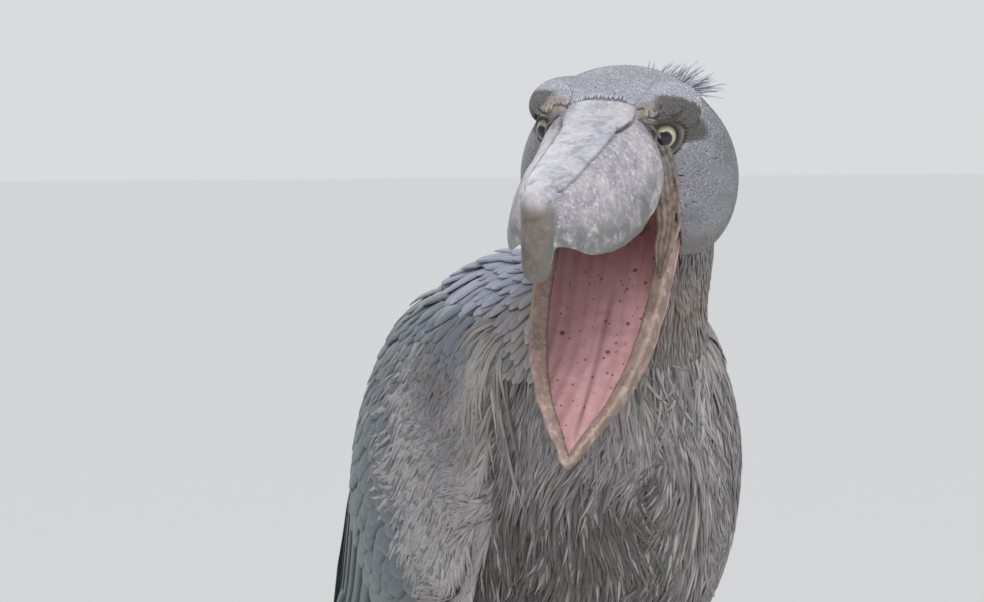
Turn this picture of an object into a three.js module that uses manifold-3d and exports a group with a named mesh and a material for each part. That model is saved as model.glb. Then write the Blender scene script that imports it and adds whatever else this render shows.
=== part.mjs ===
// A standing shoebill, life size, with its bill wide open. Millimetres, +Z up.
// The bird faces -Y with its head turned to its right, and its left side is +X.
import * as THREE from 'three';
import { mergeVertices } from 'three/addons/utils/BufferGeometryUtils.js';
import Module from 'manifold-3d';

const wasm = await Module();
wasm.setup();

// Driving sizes
const EYE_HEIGHT = 1000; // height of the eyes above the floor
const EYE_FORWARD = 212; // eyes ahead of the middle of the body
const EYE_ASIDE = -78; // eyes to the bird's right of its midline
const HEAD_TURN = -49; // degrees, to the bird's right
const HEAD_NOD = 18; // degrees, bill down
const HEAD_TILT = 2.5; // degrees, left side down
const GAPE_ANGLE = 46; // degrees between the upper and the lower bill
const STAND = new THREE.Vector3(24, -55, 0); // moves the middle of the body to the part's frame
const CLEAR = 0.35; // gap between pieces that touch
const VANE_THICK = 1.3; // flight feather, at its shaft
const SIDES = { left: 1, right: -1 };

const rad = THREE.MathUtils.degToRad;
const mix = THREE.MathUtils.lerp;
const vec = (x, y, z) => new THREE.Vector3(x, y, z);

// Colours
const tint = (name, color, roughness) => new THREE.MeshStandardMaterial({ name, color, roughness, metalness: 0 });
const SLATE = tint('slate feather', 0x7d8088, 0.85);
const WING_SLATE = tint('wing feather', 0x4f5963, 0.7);
const BREAST = tint('breast feather', 0x6f6b68, 0.9);
const HORN = tint('bill horn', 0xb4afb0, 0.55);
const PALE_HORN = tint('lower bill horn', 0xa89a8c, 0.6);
const FLESH = tint('pouch skin', 0xb07a7e, 0.45);
const IRIS = tint('eye', 0xc3c79a, 0.1);
const LEG = tint('leg skin', 0x4a4b4e, 0.7);
const CLAW = tint('claw', 0x2c2a29, 0.5);

// Solids

// One solid from a closed geometry, with its faces turned outwards.
function solidOf(geometry) {
  const bare = geometry.clone();
  bare.deleteAttribute('normal');
  bare.deleteAttribute('uv');
  const merged = mergeVertices(bare, 1e-3);
  const triVerts = new Uint32Array(merged.index.array);
  const vertProperties = merged.attributes.position.array;
  const made = new wasm.Manifold(new wasm.Mesh({ numProp: 3, vertProperties, triVerts }));
  if (made.volume() > 0) return made;
  for (let i = 0; i < triVerts.length; i += 3) {
    [triVerts[i + 1], triVerts[i + 2]] = [triVerts[i + 2], triVerts[i + 1]];
  }
  return new wasm.Manifold(new wasm.Mesh({ numProp: 3, vertProperties, triVerts }));
}

// The largest closed body of a solid, which drops loose scraps.
function largest(solid) {
  const bodies = solid.decompose();
  return bodies.reduce((best, body) => (body.volume() > best.volume() ? body : best));
}

function joined(solids) {
  return solids.reduce((whole, piece) => whole.add(piece));
}

function cut(solid, ...tools) {
  return largest(tools.reduce((rest, tool) => rest.subtract(tool), solid));
}

function meshOf(name, solid, material) {
  const data = solid.getMesh();
  const geometry = new THREE.BufferGeometry();
  geometry.setAttribute('position', new THREE.BufferAttribute(data.vertProperties.slice(), 3));
  geometry.setIndex(new THREE.BufferAttribute(data.triVerts.slice(), 1));
  geometry.computeVertexNormals();
  const mesh = new THREE.Mesh(geometry, material);
  mesh.name = name;
  return mesh;
}

// A closed skin from a sphere's rows and steps. place(row, turn) gives the point for
// row 0 to 1 between the poles and turn 0 to 1 around, and is one point at each pole.
function wrap(around, along, place) {
  const geometry = new THREE.SphereGeometry(1, around, along);
  const spot = geometry.getAttribute('position');
  for (let row = 0; row <= along; row++) {
    for (let step = 0; step <= around; step++) {
      const p = place(row / along, (step % around) / around);
      spot.setXYZ(row * (around + 1) + step, p.x, p.y, p.z);
    }
  }
  return solidOf(geometry);
}

// A loft with flat ends: section(t, turn) on the skin and centre(t) on the axis.
function loft(around, along, section, centre) {
  return wrap(around, along + 2, (row, turn) => {
    const t = (row * (along + 2) - 1) / along;
    if (t < 0) return centre(0);
    return t > 1.0001 ? centre(1) : section(t, turn);
  });
}

// A limb through stations [x, y, z, half width, half depth], whose width lies along side.
function limb(stations, { around = 12, along = 12, side = vec(1, 0, 0), grow = 0 } = {}) {
  const path = new THREE.CatmullRomCurve3(stations.map((s) => vec(s[0], s[1], s[2])));
  const sizes = new THREE.CatmullRomCurve3(stations.map((s) => vec(s[3], s[4], 0)));
  const ends = grow > 0 ? grow : 0;
  const centre = (t) => {
    const reach = t < 0.001 ? -ends : t > 0.999 ? ends : 0;
    return path.getPoint(t).addScaledVector(path.getTangent(t), reach);
  };
  const section = (t, turn) => {
    const deep = vec(0, 0, 0).crossVectors(path.getTangent(t), side).normalize();
    const wide = vec(0, 0, 0).crossVectors(deep, path.getTangent(t)).normalize();
    const size = sizes.getPoint(t);
    const angle = turn * 2 * Math.PI;
    return centre(t)
      .addScaledVector(wide, (size.x + grow) * Math.sin(angle))
      .addScaledVector(deep, (size.y + grow) * Math.cos(angle));
  };
  return loft(around, along, section, centre);
}

// A flat, tapered blade through stations { at, across, up, half }: half is its half width,
// across and up are unit vectors, and the last station is the point. Both faces are split
// into triangles alike.
function blade(stations, thick) {
  const body = stations.slice(0, -1);
  const points = [];
  for (const { at, across, up, half } of body) {
    for (const [reach, face] of [[-1, 1], [1, 1], [-1, -1], [1, -1]]) {
      points.push(at.clone().addScaledVector(across, reach * half).addScaledVector(up, (face * thick) / 2));
    }
  }
  const end = points.length;
  points.push(stations[stations.length - 1].at);
  const index = [2, 3, 1, 2, 1, 0];
  const walls = [[0, 1], [1, 3], [2, 0]];
  for (let here = 0; here < end; here += 4) {
    const next = here + 4;
    if (next === end) {
      for (const [a, b] of [...walls, [3, 2]]) index.push(here + a, here + b, end);
    } else {
      for (const [a, b] of walls) index.push(here + a, here + b, next + b, here + a, next + b, next + a);
      index.push(here + 3, here + 2, next + 3, here + 2, next + 2, next + 3);
    }
  }
  const geometry = new THREE.BufferGeometry();
  geometry.setAttribute('position', new THREE.Float32BufferAttribute(points.flatMap((p) => p.toArray()), 3));
  geometry.setIndex(index);
  return solidOf(geometry);
}

// Coat of the trunk: ribs in side view as [top y, top z, bottom y, bottom z, half width].
// The last two run on past the trunk's end for the folded wings.
const RIBS = [
  [-112, 882, -150, 852, 26],
  [-80, 892, -180, 800, 59],
  [-25, 898, -192, 722, 88],
  [35, 897, -176, 645, 107],
  [93, 879, -132, 582, 116],
  [147, 842, -62, 540, 113],
  [203, 781, 20, 516, 98],
  [254, 706, 100, 510, 71],
  [298, 640, 184, 520, 45],
  [332, 594, 254, 542, 27],
  [398, 526, 340, 490, 32],
  [452, 452, 405, 428, 26],
];
const RIB_GAPS = RIBS.length - 1;
const TRUNK_END = 9; // rib at the root of the tail
const FULLNESS = 0.9; // under 1 makes the trunk's section fuller than an ellipse

const ridge = new THREE.CatmullRomCurve3(RIBS.map((r) => vec(r[4], r[0], r[1])));
const keel = new THREE.CatmullRomCurve3(RIBS.map((r) => vec(0, r[2], r[3])));
const full = (x) => Math.sign(x) * Math.abs(x) ** FULLNESS;

// A point of the coat at rib number rib, angle degrees down from the back, lift outwards.
function coat(rib, angle, lift = 0) {
  const t = THREE.MathUtils.clamp(rib / RIB_GAPS, 0, 1);
  const top = ridge.getPoint(t);
  const low = keel.getPoint(t);
  const mid = vec(0, (top.y + low.y) / 2, (top.z + low.z) / 2);
  const half = vec(0, (top.y - low.y) / 2, (top.z - low.z) / 2);
  const deep = half.length() + lift;
  half.normalize();
  return mid
    .addScaledVector(half, deep * full(Math.cos(rad(angle))))
    .add(vec((top.x + lift) * full(Math.sin(rad(angle))), 0, 0));
}

function coatNormal(rib, angle) {
  const along = coat(rib + 0.1, angle).sub(coat(rib - 0.1, angle));
  const round = coat(rib, angle + 2).sub(coat(rib, angle - 2));
  const normal = along.cross(round).normalize();
  const outward = coat(rib, angle, 10).sub(coat(rib, angle));
  return normal.dot(outward) < 0 ? normal.negate() : normal;
}

// Trunk
const PLUME_DEPTH = 4; // the solid trunk lies this far inside the coat
const TRUNK_AROUND = 24;
const TRUNK_ALONG = 14;

function trunkForm(loose) {
  const grow = loose - PLUME_DEPTH;
  const mid = (rib) => coat(rib, 0).add(coat(rib, 180)).multiplyScalar(0.5);
  const axis = mid(TRUNK_END).sub(mid(0)).normalize();
  const reach = (t) => (t < 0.001 ? -grow : t > 0.999 ? grow : 0);
  return loft(
    TRUNK_AROUND,
    TRUNK_ALONG,
    (t, turn) => coat(t * TRUNK_END, turn * 360, grow).addScaledVector(axis, reach(t)),
    (t) => mid(t * TRUNK_END).addScaledVector(axis, reach(t)),
  );
}

// Neck
const NECK = [
  [-5, -150, 990, 18, 20],
  [-3, -147, 957, 43, 42],
  [0, -140, 915, 53, 54],
  [0, -126, 868, 54, 60],
  [0, -100, 800, 72, 66],
  [0, -70, 760, 60, 50],
];

const neckForm = (grow) => limb(NECK, { around: 20, along: 10, grow });

// Head frame: x to the bird's left, -y along the bill, z up, from the middle of the eyes.
const head = new THREE.Group();
head.position.set(EYE_ASIDE, -EYE_FORWARD, EYE_HEIGHT);
head.rotation.set(rad(HEAD_NOD), rad(HEAD_TILT), rad(HEAD_TURN), 'ZXY');
head.updateMatrix();
const inHead = (solid) => solid.transform(head.matrix.toArray());
const headPoint = (aside, ahead, up) => vec(aside, -ahead, up);

// Skull and its plumage: ellipsoids [aside, ahead, up, half width, half length, half height].
const SKULL_MIDDLE = headPoint(0, -46, -26);
const SKULL = [
  [0, -38, -5, 66, 62, 43],
  [20, -76, -22, 44, 40, 36],
  [-20, -76, -22, 44, 40, 36],
  [0, -4, 0, 44, 30, 27],
  [49, -50, -57, 39, 58, 60],
  [-49, -50, -57, 39, 58, 60],
  [47, -24, 13, 23, 30, 18],
  [-47, -24, 13, 23, 30, 18],
  [43, -2, 20, 17, 26, 8],
  [-43, -2, 20, 17, 26, 8],
  [0, -84, -60, 62, 48, 58],
];
const BLEND = 14; // high values keep each ellipsoid's own outline

// How far the skull reaches from its middle along a unit direction.
function skullReach(direction) {
  let sum = 0;
  for (const [aside, ahead, up, wide, long, high] of SKULL) {
    const size = vec(wide, long, high);
    const from = SKULL_MIDDLE.clone().sub(headPoint(aside, ahead, up)).divide(size);
    const ray = direction.clone().divide(size);
    const a = ray.lengthSq();
    const b = from.dot(ray);
    const inside = b * b - a * (from.lengthSq() - 1);
    if (inside > 0) sum += Math.max((Math.sqrt(inside) - b) / a, 0) ** BLEND;
  }
  return sum ** (1 / BLEND);
}

function skullForm(grow) {
  return wrap(22, 15, (row, turn) => {
    const polar = row * Math.PI;
    const angle = turn * 2 * Math.PI;
    const direction = vec(Math.sin(polar) * Math.sin(angle), Math.cos(polar), Math.sin(polar) * Math.cos(angle));
    return direction.clone().multiplyScalar(skullReach(direction) + grow).add(SKULL_MIDDLE);
  });
}

// Upper bill: stations [ahead, half width, crest height, cutting edge height].
const UPPER = [
  [-22, 36, 12, -26],
  [7, 46, 27, -30],
  [21, 52, 24.5, -34],
  [45, 53, 20, -47],
  [73, 50.5, 17, -56],
  [110, 46.5, 15, -57],
  [140, 40.5, 13.5, -53],
  [160, 33, 12, -47],
  [174, 24, 11, -38],
  [184, 15, 8, -35],
  [191, 12.5, 1, -44],
  [196, 11, -11, -52],
  [199, 8, -28, -56],
];
const NAIL_TIP = headPoint(0, 196, -59);
// Half of a section, from the crest to the cutting edge, as [share of width, share of depth].
const UPPER_SECTION = [
  [0, 0],
  [0.2, 0.02],
  [0.27, 0.09],
  [0.36, 0.06],
  [0.6, 0.14],
  [0.86, 0.42],
  [1, 0.78],
  [0.98, 1],
  [0.86, 0.97],
  [0.45, 0.8],
  [0, 0.74],
];

function upperForm(grow) {
  const half = UPPER_SECTION.length - 1;
  const around = 2 * half;
  const rows = UPPER.length + 1;
  return wrap(around, rows, (row, turn) => {
    const station = Math.round(row * rows) - 1;
    if (station < 0) return headPoint(0, UPPER[0][0] - grow, (UPPER[0][2] + UPPER[0][3]) / 2);
    if (station >= UPPER.length) return NAIL_TIP.clone();
    const [ahead, width, crest, edge] = UPPER[station];
    const step = Math.round(turn * around);
    const mirrored = step > half;
    const [x, depth] = UPPER_SECTION[mirrored ? around - step : step];
    const high = crest + grow - (crest - edge + 2 * grow) * depth;
    return headPoint((mirrored ? -1 : 1) * x * (width + grow), ahead - (station ? 0 : grow), high);
  });
}

// Lower bill: a trough from the gape to its tip, stations [along, half width, depth].
const GAPE = headPoint(0, -17, -53);
const LOWER_LENGTH = 245;
const LOWER = [
  [-26, 44, 40],
  [0, 51, 44],
  [35, 54.5, 45],
  [70, 55, 42],
  [100, 54, 38],
  [136, 50, 32],
  [163, 43.5, 27],
  [190, 33, 21],
  [212, 21, 15],
  [230, 10.5, 10],
];
const RIM_THICK = 4.5; // skin of the pouch
const RIM_WIDTH = 12; // the horn lies this far inwards from its outer edge
const HORN_DEPTH = 13; // and reaches this far down, with the pouch hanging below
const BULGE = 10; // the pouch swells this far beyond the horn on each side

const lower = new THREE.Group();
lower.position.copy(GAPE);
lower.rotation.set(rad(GAPE_ANGLE), 0, 0);
lower.updateMatrix();
const inLower = (solid) => inHead(solid.transform(lower.matrix.toArray()));

// The trough's form, thick millimetres inside its outside, and rise opens its top.
function troughForm(thick, rise, grow = 0) {
  const rows = LOWER.length + 1;
  const around = 24;
  return wrap(around, rows, (row, turn) => {
    const station = Math.round(row * rows) - 1;
    const [along, width, depth] = LOWER[THREE.MathUtils.clamp(station, 0, LOWER.length - 1)];
    const thin = Math.min(thick, width * 0.43);
    if (station < 0) return vec(0, -along + grow, -depth / 2);
    if (station >= LOWER.length) return vec(0, -(LOWER_LENGTH - thin * 2.4 + grow), -thin + rise * 0.2);
    const angle = turn * 2 * Math.PI;
    const up = Math.cos(angle);
    const reach = up < 0 ? depth - thin + grow : rise + grow;
    const swell = BULGE * Math.max(0, -up) * Math.min(1, depth / 40);
    const round = Math.sign(Math.sin(angle)) * Math.abs(Math.sin(angle)) ** 0.8;
    return vec((width + swell - thin + grow) * round, -along + (station ? 0 : grow), reach * up);
  });
}
// Vanes on the coat

const VANE_SHAPE = [
  [0, 0.55],
  [0.4, 1],
  [0.84, 0.8],
];

// A feather on the coat from root to tip, each [rib, angle], as wide as half on each side.
// lift rises from sunk at the root to free, and roll shingles it over its neighbour.
function coatVane({ side, root, tip, half, sunk, free, end = free, roll = 5, thick = VANE_THICK, shape = VANE_SHAPE }) {
  const place = (u) => {
    const rib = mix(root[0], tip[0], u);
    const angle = mix(root[1], tip[1], u);
    const lift = u < 0.3 ? mix(sunk, free, u / 0.3) : mix(free, end, (u - 0.3) / 0.7);
    const at = coat(rib, angle);
    const up = coatNormal(rib, angle);
    return { at: at.addScaledVector(up, lift), up };
  };
  const stations = [...shape, [1, 0]].map(([u, share]) => {
    const { at, up } = place(u);
    const ahead = place(Math.min(u + 0.05, 1)).at.sub(place(Math.max(u - 0.05, 0)).at).normalize();
    const across = vec(0, 0, 0).crossVectors(up, ahead).normalize();
    across.applyAxisAngle(ahead, rad(roll));
    const lifted = vec(0, 0, 0).crossVectors(ahead, across).normalize();
    return { at, across, up: lifted, half: half * share };
  });
  for (const s of stations) {
    s.at.x *= side;
    s.across.x *= side;
    s.up.x *= side;
  }
  return blade(stations, thick);
}

// A row of vanes spread from the first [root, tip] to the last.
function vaneRow({ count, from, to, ...rest }) {
  const vanes = [];
  for (let i = 0; i < count; i++) {
    const share = count > 1 ? i / (count - 1) : 0;
    const between = (a, b) => [mix(a[0], b[0], share), mix(a[1], b[1], share)];
    vanes.push(
      coatVane({
        root: between(from.root, to.root),
        tip: between(from.tip, to.tip),
        half: mix(from.half, to.half, share),
        free: mix(from.free, to.free, share),
        end: mix(from.end ?? from.free, to.end ?? to.free, share),
        ...rest,
      }),
    );
  }
  return vanes;
}

// Folded wings
const WING_FRONT = 2.3; // rib at the shoulder
const WING_BACK = 7.6; // rib where the solid wing ends and only feathers go on
const WING_TOP = [62, 32, 16, 11, 10]; // degrees down from the back, front to rear
const WING_LOW = [82, 108, 117, 114, 98];
const WING_THICK = [7, 14, 14, 11, 5];

const spread = (list, s) => {
  const at = s * (list.length - 1);
  const i = Math.min(Math.floor(at), list.length - 2);
  return mix(list[i], list[i + 1], at - i);
};

function wingCore(side) {
  return wrap(16, 12, (row, turn) => {
    const s = THREE.MathUtils.clamp(row, 0, 1);
    const angle = turn * 2 * Math.PI;
    const open = Math.sin(Math.PI * s) ** 0.45;
    const middle = (spread(WING_TOP, s) + spread(WING_LOW, s)) / 2;
    const half = (spread(WING_LOW, s) - spread(WING_TOP, s)) / 2;
    const high = Math.cos(angle);
    const lift = high > 0 ? spread(WING_THICK, s) * high ** 0.7 * open : 4 * high * open;
    const p = coat(mix(WING_FRONT, WING_BACK, s), middle + half * open * Math.sin(angle), lift);
    p.x *= side;
    return p;
  });
}

const midline = solidOf(new THREE.BoxGeometry(1, 600, 500).translate(0, 300, 600));

function wing(side, trunkGrown, thighGrown) {
  const rows = [
    // primaries
    ...vaneRow({
      side,
      count: 5,
      sunk: -1,
      roll: -6,
      from: { root: [6.6, 104], tip: [10.9, 62], half: 15, free: 4.5, end: 3 },
      to: { root: [6.2, 80], tip: [10.2, 30], half: 17, free: 8, end: 9 },
    }),
    // secondaries and tertials
    ...vaneRow({
      side,
      count: 7,
      sunk: 3,
      roll: -6,
      from: { root: [4.4, 110], tip: [8.0, 108], half: 21, free: 8, end: 4 },
      to: { root: [5.6, 26], tip: [9.3, 16], half: 23, free: 15, end: 10 },
    }),
    // greater coverts
    ...vaneRow({
      side,
      count: 6,
      sunk: 6,
      roll: -6,
      from: { root: [3.6, 97], tip: [5.5, 105], half: 22, free: 14, end: 12 },
      to: { root: [4.2, 30], tip: [6.4, 22], half: 25, free: 17, end: 15 },
    }),
  ];
  return cut(joined([wingCore(side), ...rows]), trunkGrown, thighGrown, midline);
}

// Tail
const TAIL_ROOT = vec(0, 318, 572);
const TAIL_LENGTH = 205;
const TAIL_SLOPE = 47; // degrees below level
const TAIL_PAIRS = 4;

function tail(trunkGrown) {
  const back = vec(0, Math.cos(rad(TAIL_SLOPE)), -Math.sin(rad(TAIL_SLOPE)));
  const up = vec(0, Math.sin(rad(TAIL_SLOPE)), Math.cos(rad(TAIL_SLOPE)));
  const root = TAIL_ROOT.clone();
  const core = limb(
    [
      [0, root.y - 30 * back.y, root.z - 30 * back.z, 24, 14],
      [0, root.y + 20 * back.y, root.z + 20 * back.z, 26, 13],
      [0, root.y + 55 * back.y, root.z + 55 * back.z, 20, 8],
    ],
    { around: 12, along: 4 },
  );
  const vanes = [];
  for (let pair = 0; pair < TAIL_PAIRS; pair++) {
    for (const side of [1, -1]) {
      const fan = rad(side * (1.6 + pair * 4));
      const ahead = back.clone().applyAxisAngle(up, fan);
      const across = vec(0, 0, 0).crossVectors(up, ahead).normalize().applyAxisAngle(ahead, rad(side * 5));
      const lift = vec(0, 0, 0).crossVectors(ahead, across).normalize();
      const length = TAIL_LENGTH - pair * 5;
      const from = root.clone().add(vec(side * (3 + pair * 3.6), 0, 0)).addScaledVector(up, 1.5 - pair * 2.1);
      const stations = [[0.02, 0.5], [0.35, 0.9], [0.7, 1], [0.93, 0.75], [1, 0]].map(([u, share]) => ({
        at: from.clone().addScaledVector(ahead, length * u).addScaledVector(up, -16 * u * u),
        across,
        up: lift,
        half: 20 * share,
      }));
      vanes.push(blade(stations, VANE_THICK));
    }
  }
  return cut(joined([core, ...vanes]), trunkGrown);
}

// Legs
const HIP_ASIDE = 66;
const FOOT_ASIDE = 82;
const FOOT_BACK = 22; // foot joint behind the middle of the body
const HOCK = [74, 70, 270];
const ANKLE_HEIGHT = 30;

const thighForm = (side, grow) =>
  limb(
    [
      [side * (HIP_ASIDE - 8), 0, 640, 40, 52],
      [side * HIP_ASIDE, 14, 560, 50, 66],
      [side * (HIP_ASIDE + 3), 30, 480, 38, 46],
      [side * (HIP_ASIDE + 5), 44, 410, 21, 24],
      [side * (HIP_ASIDE + 6), 50, 385, 14, 15],
    ],
    { around: 12, along: 9, grow },
  );

const shankForm = (side, grow) =>
  limb(
    [
      [side * (HIP_ASIDE + 5), 46, 405, 9.5, 10],
      [side * (HOCK[0] - 1), HOCK[1] - 12, HOCK[2] + 60, 10, 11],
      [side * HOCK[0], HOCK[1], HOCK[2], 13, 16.5],
      [side * (HOCK[0] + 2), HOCK[1] - 12, HOCK[2] - 50, 8.5, 10.5],
      [side * (FOOT_ASIDE - 1), FOOT_BACK + 14, 95, 8.5, 9.5],
      [side * FOOT_ASIDE, FOOT_BACK + 3, ANKLE_HEIGHT + 6, 11.5, 12],
      [side * FOOT_ASIDE, FOOT_BACK - 2, 18, 12, 12],
    ],
    { around: 8, along: 12, grow },
  );

// Toes [name, direction in degrees outwards from straight ahead, length, half width].
const TOES = [
  ['middle', 6, 158, 9.5],
  ['outer', 38, 130, 9],
  ['inner', -26, 122, 9],
  ['hind', 172, 70, 9],
];
const CLAW_LENGTH = 24;

function toeLine(side, degrees, length) {
  const way = vec(side * Math.sin(rad(degrees)), -Math.cos(rad(degrees)), 0);
  return (along, height) => vec(side * FOOT_ASIDE, FOOT_BACK, height).addScaledVector(way, along * length);
}

function toeForm(side, degrees, length, half, grow) {
  const at = toeLine(side, degrees, length);
  const across = vec(Math.cos(rad(degrees)), side * Math.sin(rad(degrees)), 0);
  const joint = (along, height, wide, deep) => [...at(along, height).toArray(), wide, deep];
  return limb(
    [
      joint(-0.04, 15, half, 12),
      joint(0.12, 11, half, 11.5),
      joint(0.33, 7.5, half + 0.8, 8.4),
      joint(0.5, 6.5, half - 1, 7),
      joint(0.68, 6.2, half - 0.2, 7),
      joint(0.86, 5.4, half - 2.2, 6),
      joint(1, 5.2, half - 3, 5.4),
    ],
    { around: 8, along: 6, side: across, grow },
  );
}

function clawForm(side, degrees, length) {
  const at = toeLine(side, degrees, length);
  const across = vec(Math.cos(rad(degrees)), side * Math.sin(rad(degrees)), 0);
  const reach = CLAW_LENGTH / length;
  const joint = (along, height, wide, deep) => [...at(along, height).toArray(), wide, deep];
  return limb(
    [
      joint(1 - reach * 0.25, 6, 3.4, 4),
      joint(1 + reach * 0.3, 7, 3.2, 3.8),
      joint(1 + reach * 0.7, 5.2, 2.1, 2.6),
      joint(1 + reach, 1.9, 0.7, 0.9),
    ],
    { around: 6, along: 3, side: across },
  );
}

const underFloor = solidOf(new THREE.BoxGeometry(900, 900, 100).translate(0, 0, -50));

function footForm(side, grow) {
  const toes = TOES.map(([, degrees, length, half]) => toeForm(side, degrees, length, half, grow));
  return joined(toes);
}

// Eyes and lids
const EYE = { aside: 43, ahead: -3, up: -1, radius: 14 };
const EYE_LOOK = [0.72, 0.68, 0.02]; // aside, ahead, up
const LID_RADIUS = 12.5;
const LID_THICK = 2.6;
const LID_REACH = 3.5; // the lids' skin spreads this far beyond the eyeball

function eyeForm(side, grow) {
  const ball = new THREE.SphereGeometry(EYE.radius + grow, 14, 9);
  return solidOf(ball.applyMatrix4(new THREE.Matrix4().setPosition(headPoint(side * EYE.aside, EYE.ahead, EYE.up))));
}

function lidForm(side) {
  const look = headPoint(side * EYE_LOOK[0], EYE_LOOK[1], EYE_LOOK[2]).normalize();
  const ring = new THREE.TorusGeometry(LID_RADIUS, LID_THICK, 5, 12);
  const turn = new THREE.Matrix4().makeRotationFromQuaternion(
    new THREE.Quaternion().setFromUnitVectors(vec(0, 0, 1), look),
  );
  const at = headPoint(side * EYE.aside, EYE.ahead, EYE.up).addScaledVector(look, 7);
  return solidOf(ring.applyMatrix4(turn.setPosition(at)));
}

// Crest: a short tousled tuft at the back of the crown, blown to the bird's left.
const CREST = [
  // aside at the root, ahead, lean aside, rise, length
  [-12, -80, -0.1, 0.2, 24],
  [2, -82, 0.2, 0.25, 28],
  [13, -82, 0.3, 0.3, 32],
  [22, -84, 0.5, 0.45, 32],
  [28, -86, 0.8, 0.5, 38],
  [31, -88, 0.9, 0.3, 36],
  [34, -90, 1.1, 0.12, 40],
  [36, -92, 1.1, -0.1, 34],
];

function crestVane([aside, ahead, lean, rise, length]) {
  const out = headPoint(aside, ahead, 4).sub(SKULL_MIDDLE).normalize();
  const root = SKULL_MIDDLE.clone().addScaledVector(out, skullReach(out) - 6);
  const way = headPoint(lean, -0.8, rise).normalize();
  const across = vec(0, 0, 0).crossVectors(out, way).normalize();
  const up = vec(0, 0, 0).crossVectors(way, across).normalize();
  const stations = [[0, 0.6], [0.4, 1], [0.75, 0.7], [1, 0]].map(([u, share]) => ({
    at: root.clone().addScaledVector(way, length * u).addScaledVector(up, -3 * u * u),
    across,
    up,
    half: 4.5 * share,
  }));
  return blade(stations, 1);
}

// Long breast plumes: flat, tapered locks that hang from the breast, in tiers.
const BREAST_TIERS = [
  // rib at the roots, angles across the breast, ribs to the tips, turn to the tips, half width
  { rib: 1.5, angles: [104, 121, 138, 155, 172], fall: 1.35, fan: -3, half: 13 },
  { rib: 2.4, angles: [123, 140, 157, 174], fall: 1.4, fan: -2, half: 15 },
  { rib: 3.4, angles: [136, 151, 166], fall: 1.4, fan: -1, half: 16 },
];
const PLUME_SHAPE = [
  [0, 0.6],
  [0.35, 1],
  [0.72, 0.75],
];

function breastPlumes() {
  return BREAST_TIERS.flatMap(({ rib, angles, fall, fan, half }) =>
    angles.flatMap((angle, i) =>
      Object.values(SIDES).map((side) =>
        coatVane({
          side,
          root: [rib + (i % 2) * 0.22, angle],
          tip: [rib + fall + (i % 2) * 0.22, angle + fan],
          half,
          sunk: -6,
          free: 2.5,
          end: 4,
          roll: 3,
          thick: 1.6,
          shape: PLUME_SHAPE,
        }),
      ),
    ),
  );
}

// Assembly
const bird = new THREE.Group();
bird.position.copy(STAND);

const trunk = trunkForm(0);
const plumes = joined(breastPlumes());
const trunkGrown = trunkForm(CLEAR * 1.5);
const lidBalls = (grow) => Object.values(SIDES).map((side) => inHead(eyeForm(side, LID_REACH + grow)));
const upper = cut(inHead(upperForm(0)), ...lidBalls(0));
const upperGrown = cut(inHead(upperForm(CLEAR)), ...lidBalls(-CLEAR));
const outside = troughForm(0, 1.2);
const hornBox = solidOf(new THREE.BoxGeometry(300, 700, 200).translate(0, 0, 100 - HORN_DEPTH));
const pouchBox = solidOf(new THREE.BoxGeometry(300, 700, 200).translate(0, 0, -100 - HORN_DEPTH - CLEAR));
const lowerHorn = inLower(largest(outside.subtract(troughForm(RIM_WIDTH, 60)).intersect(hornBox)));
const pouch = inLower(largest(outside.subtract(troughForm(RIM_THICK, 60)).intersect(pouchBox)));
const troughGrown = inLower(troughForm(0, 1.2, CLEAR));
const mouthSpace = inLower(troughForm(RIM_THICK, 60));

const eyes = Object.fromEntries(Object.entries(SIDES).map(([name, side]) => [name, inHead(eyeForm(side, 0))]));
const eyeHoles = Object.values(SIDES).map((side) => inHead(eyeForm(side, CLEAR)));
const lids = Object.values(SIDES).map((side) => inHead(lidForm(side)));
const crest = CREST.map((vane) => inHead(crestVane(vane)));
const skull = cut(
  joined([inHead(skullForm(0)), ...lids, ...crest]),
  upperGrown,
  troughGrown,
  mouthSpace,
  ...eyeHoles,
);
const skullGrown = inHead(skullForm(CLEAR * 1.3));
const neck = cut(neckForm(0), skullGrown, trunkGrown, troughGrown);

const thighsGrown = joined(Object.values(SIDES).map((side) => thighForm(side, CLEAR)));
const torso = cut(trunk.add(plumes.subtract(thighsGrown)), neckForm(CLEAR), troughGrown);

bird.add(meshOf('torso', torso, BREAST));
bird.add(meshOf('neck', neck, SLATE));
bird.add(meshOf('head', skull, SLATE));
bird.add(meshOf('upper_bill', upper, HORN));
bird.add(meshOf('lower_bill', lowerHorn, PALE_HORN));
bird.add(meshOf('pouch', pouch, FLESH));
bird.add(meshOf('tail', tail(trunkGrown), WING_SLATE));

for (const [name, side] of Object.entries(SIDES)) {
  bird.add(meshOf('eye_' + name, eyes[name], IRIS));
  bird.add(meshOf('wing_' + name, wing(side, trunkGrown, thighForm(side, CLEAR)), WING_SLATE));
  bird.add(meshOf('thigh_' + name, cut(thighForm(side, 0), trunkGrown), SLATE));
  const shank = cut(shankForm(side, 0), thighForm(side, CLEAR), footForm(side, CLEAR), underFloor);
  bird.add(meshOf('shank_' + name, shank, LEG));
  bird.add(meshOf('foot_' + name, cut(footForm(side, 0), underFloor), LEG));
  for (const [toe, degrees, length, half] of TOES) {
    const claw = cut(clawForm(side, degrees, length), toeForm(side, degrees, length, half, CLEAR), underFloor);
    bird.add(meshOf(`claw_${toe}_${name}`, claw, CLAW));
  }
}

export default bird;
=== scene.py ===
# A life-size shoebill with its bill wide open: skin, feathers, bill, eyes and legs in a plain studio.
import logging
import math
from dataclasses import dataclass
from enum import Enum
from typing import Callable, Sequence

import bmesh
import bpy
import numpy as np
from mathutils import Matrix, Vector


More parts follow.
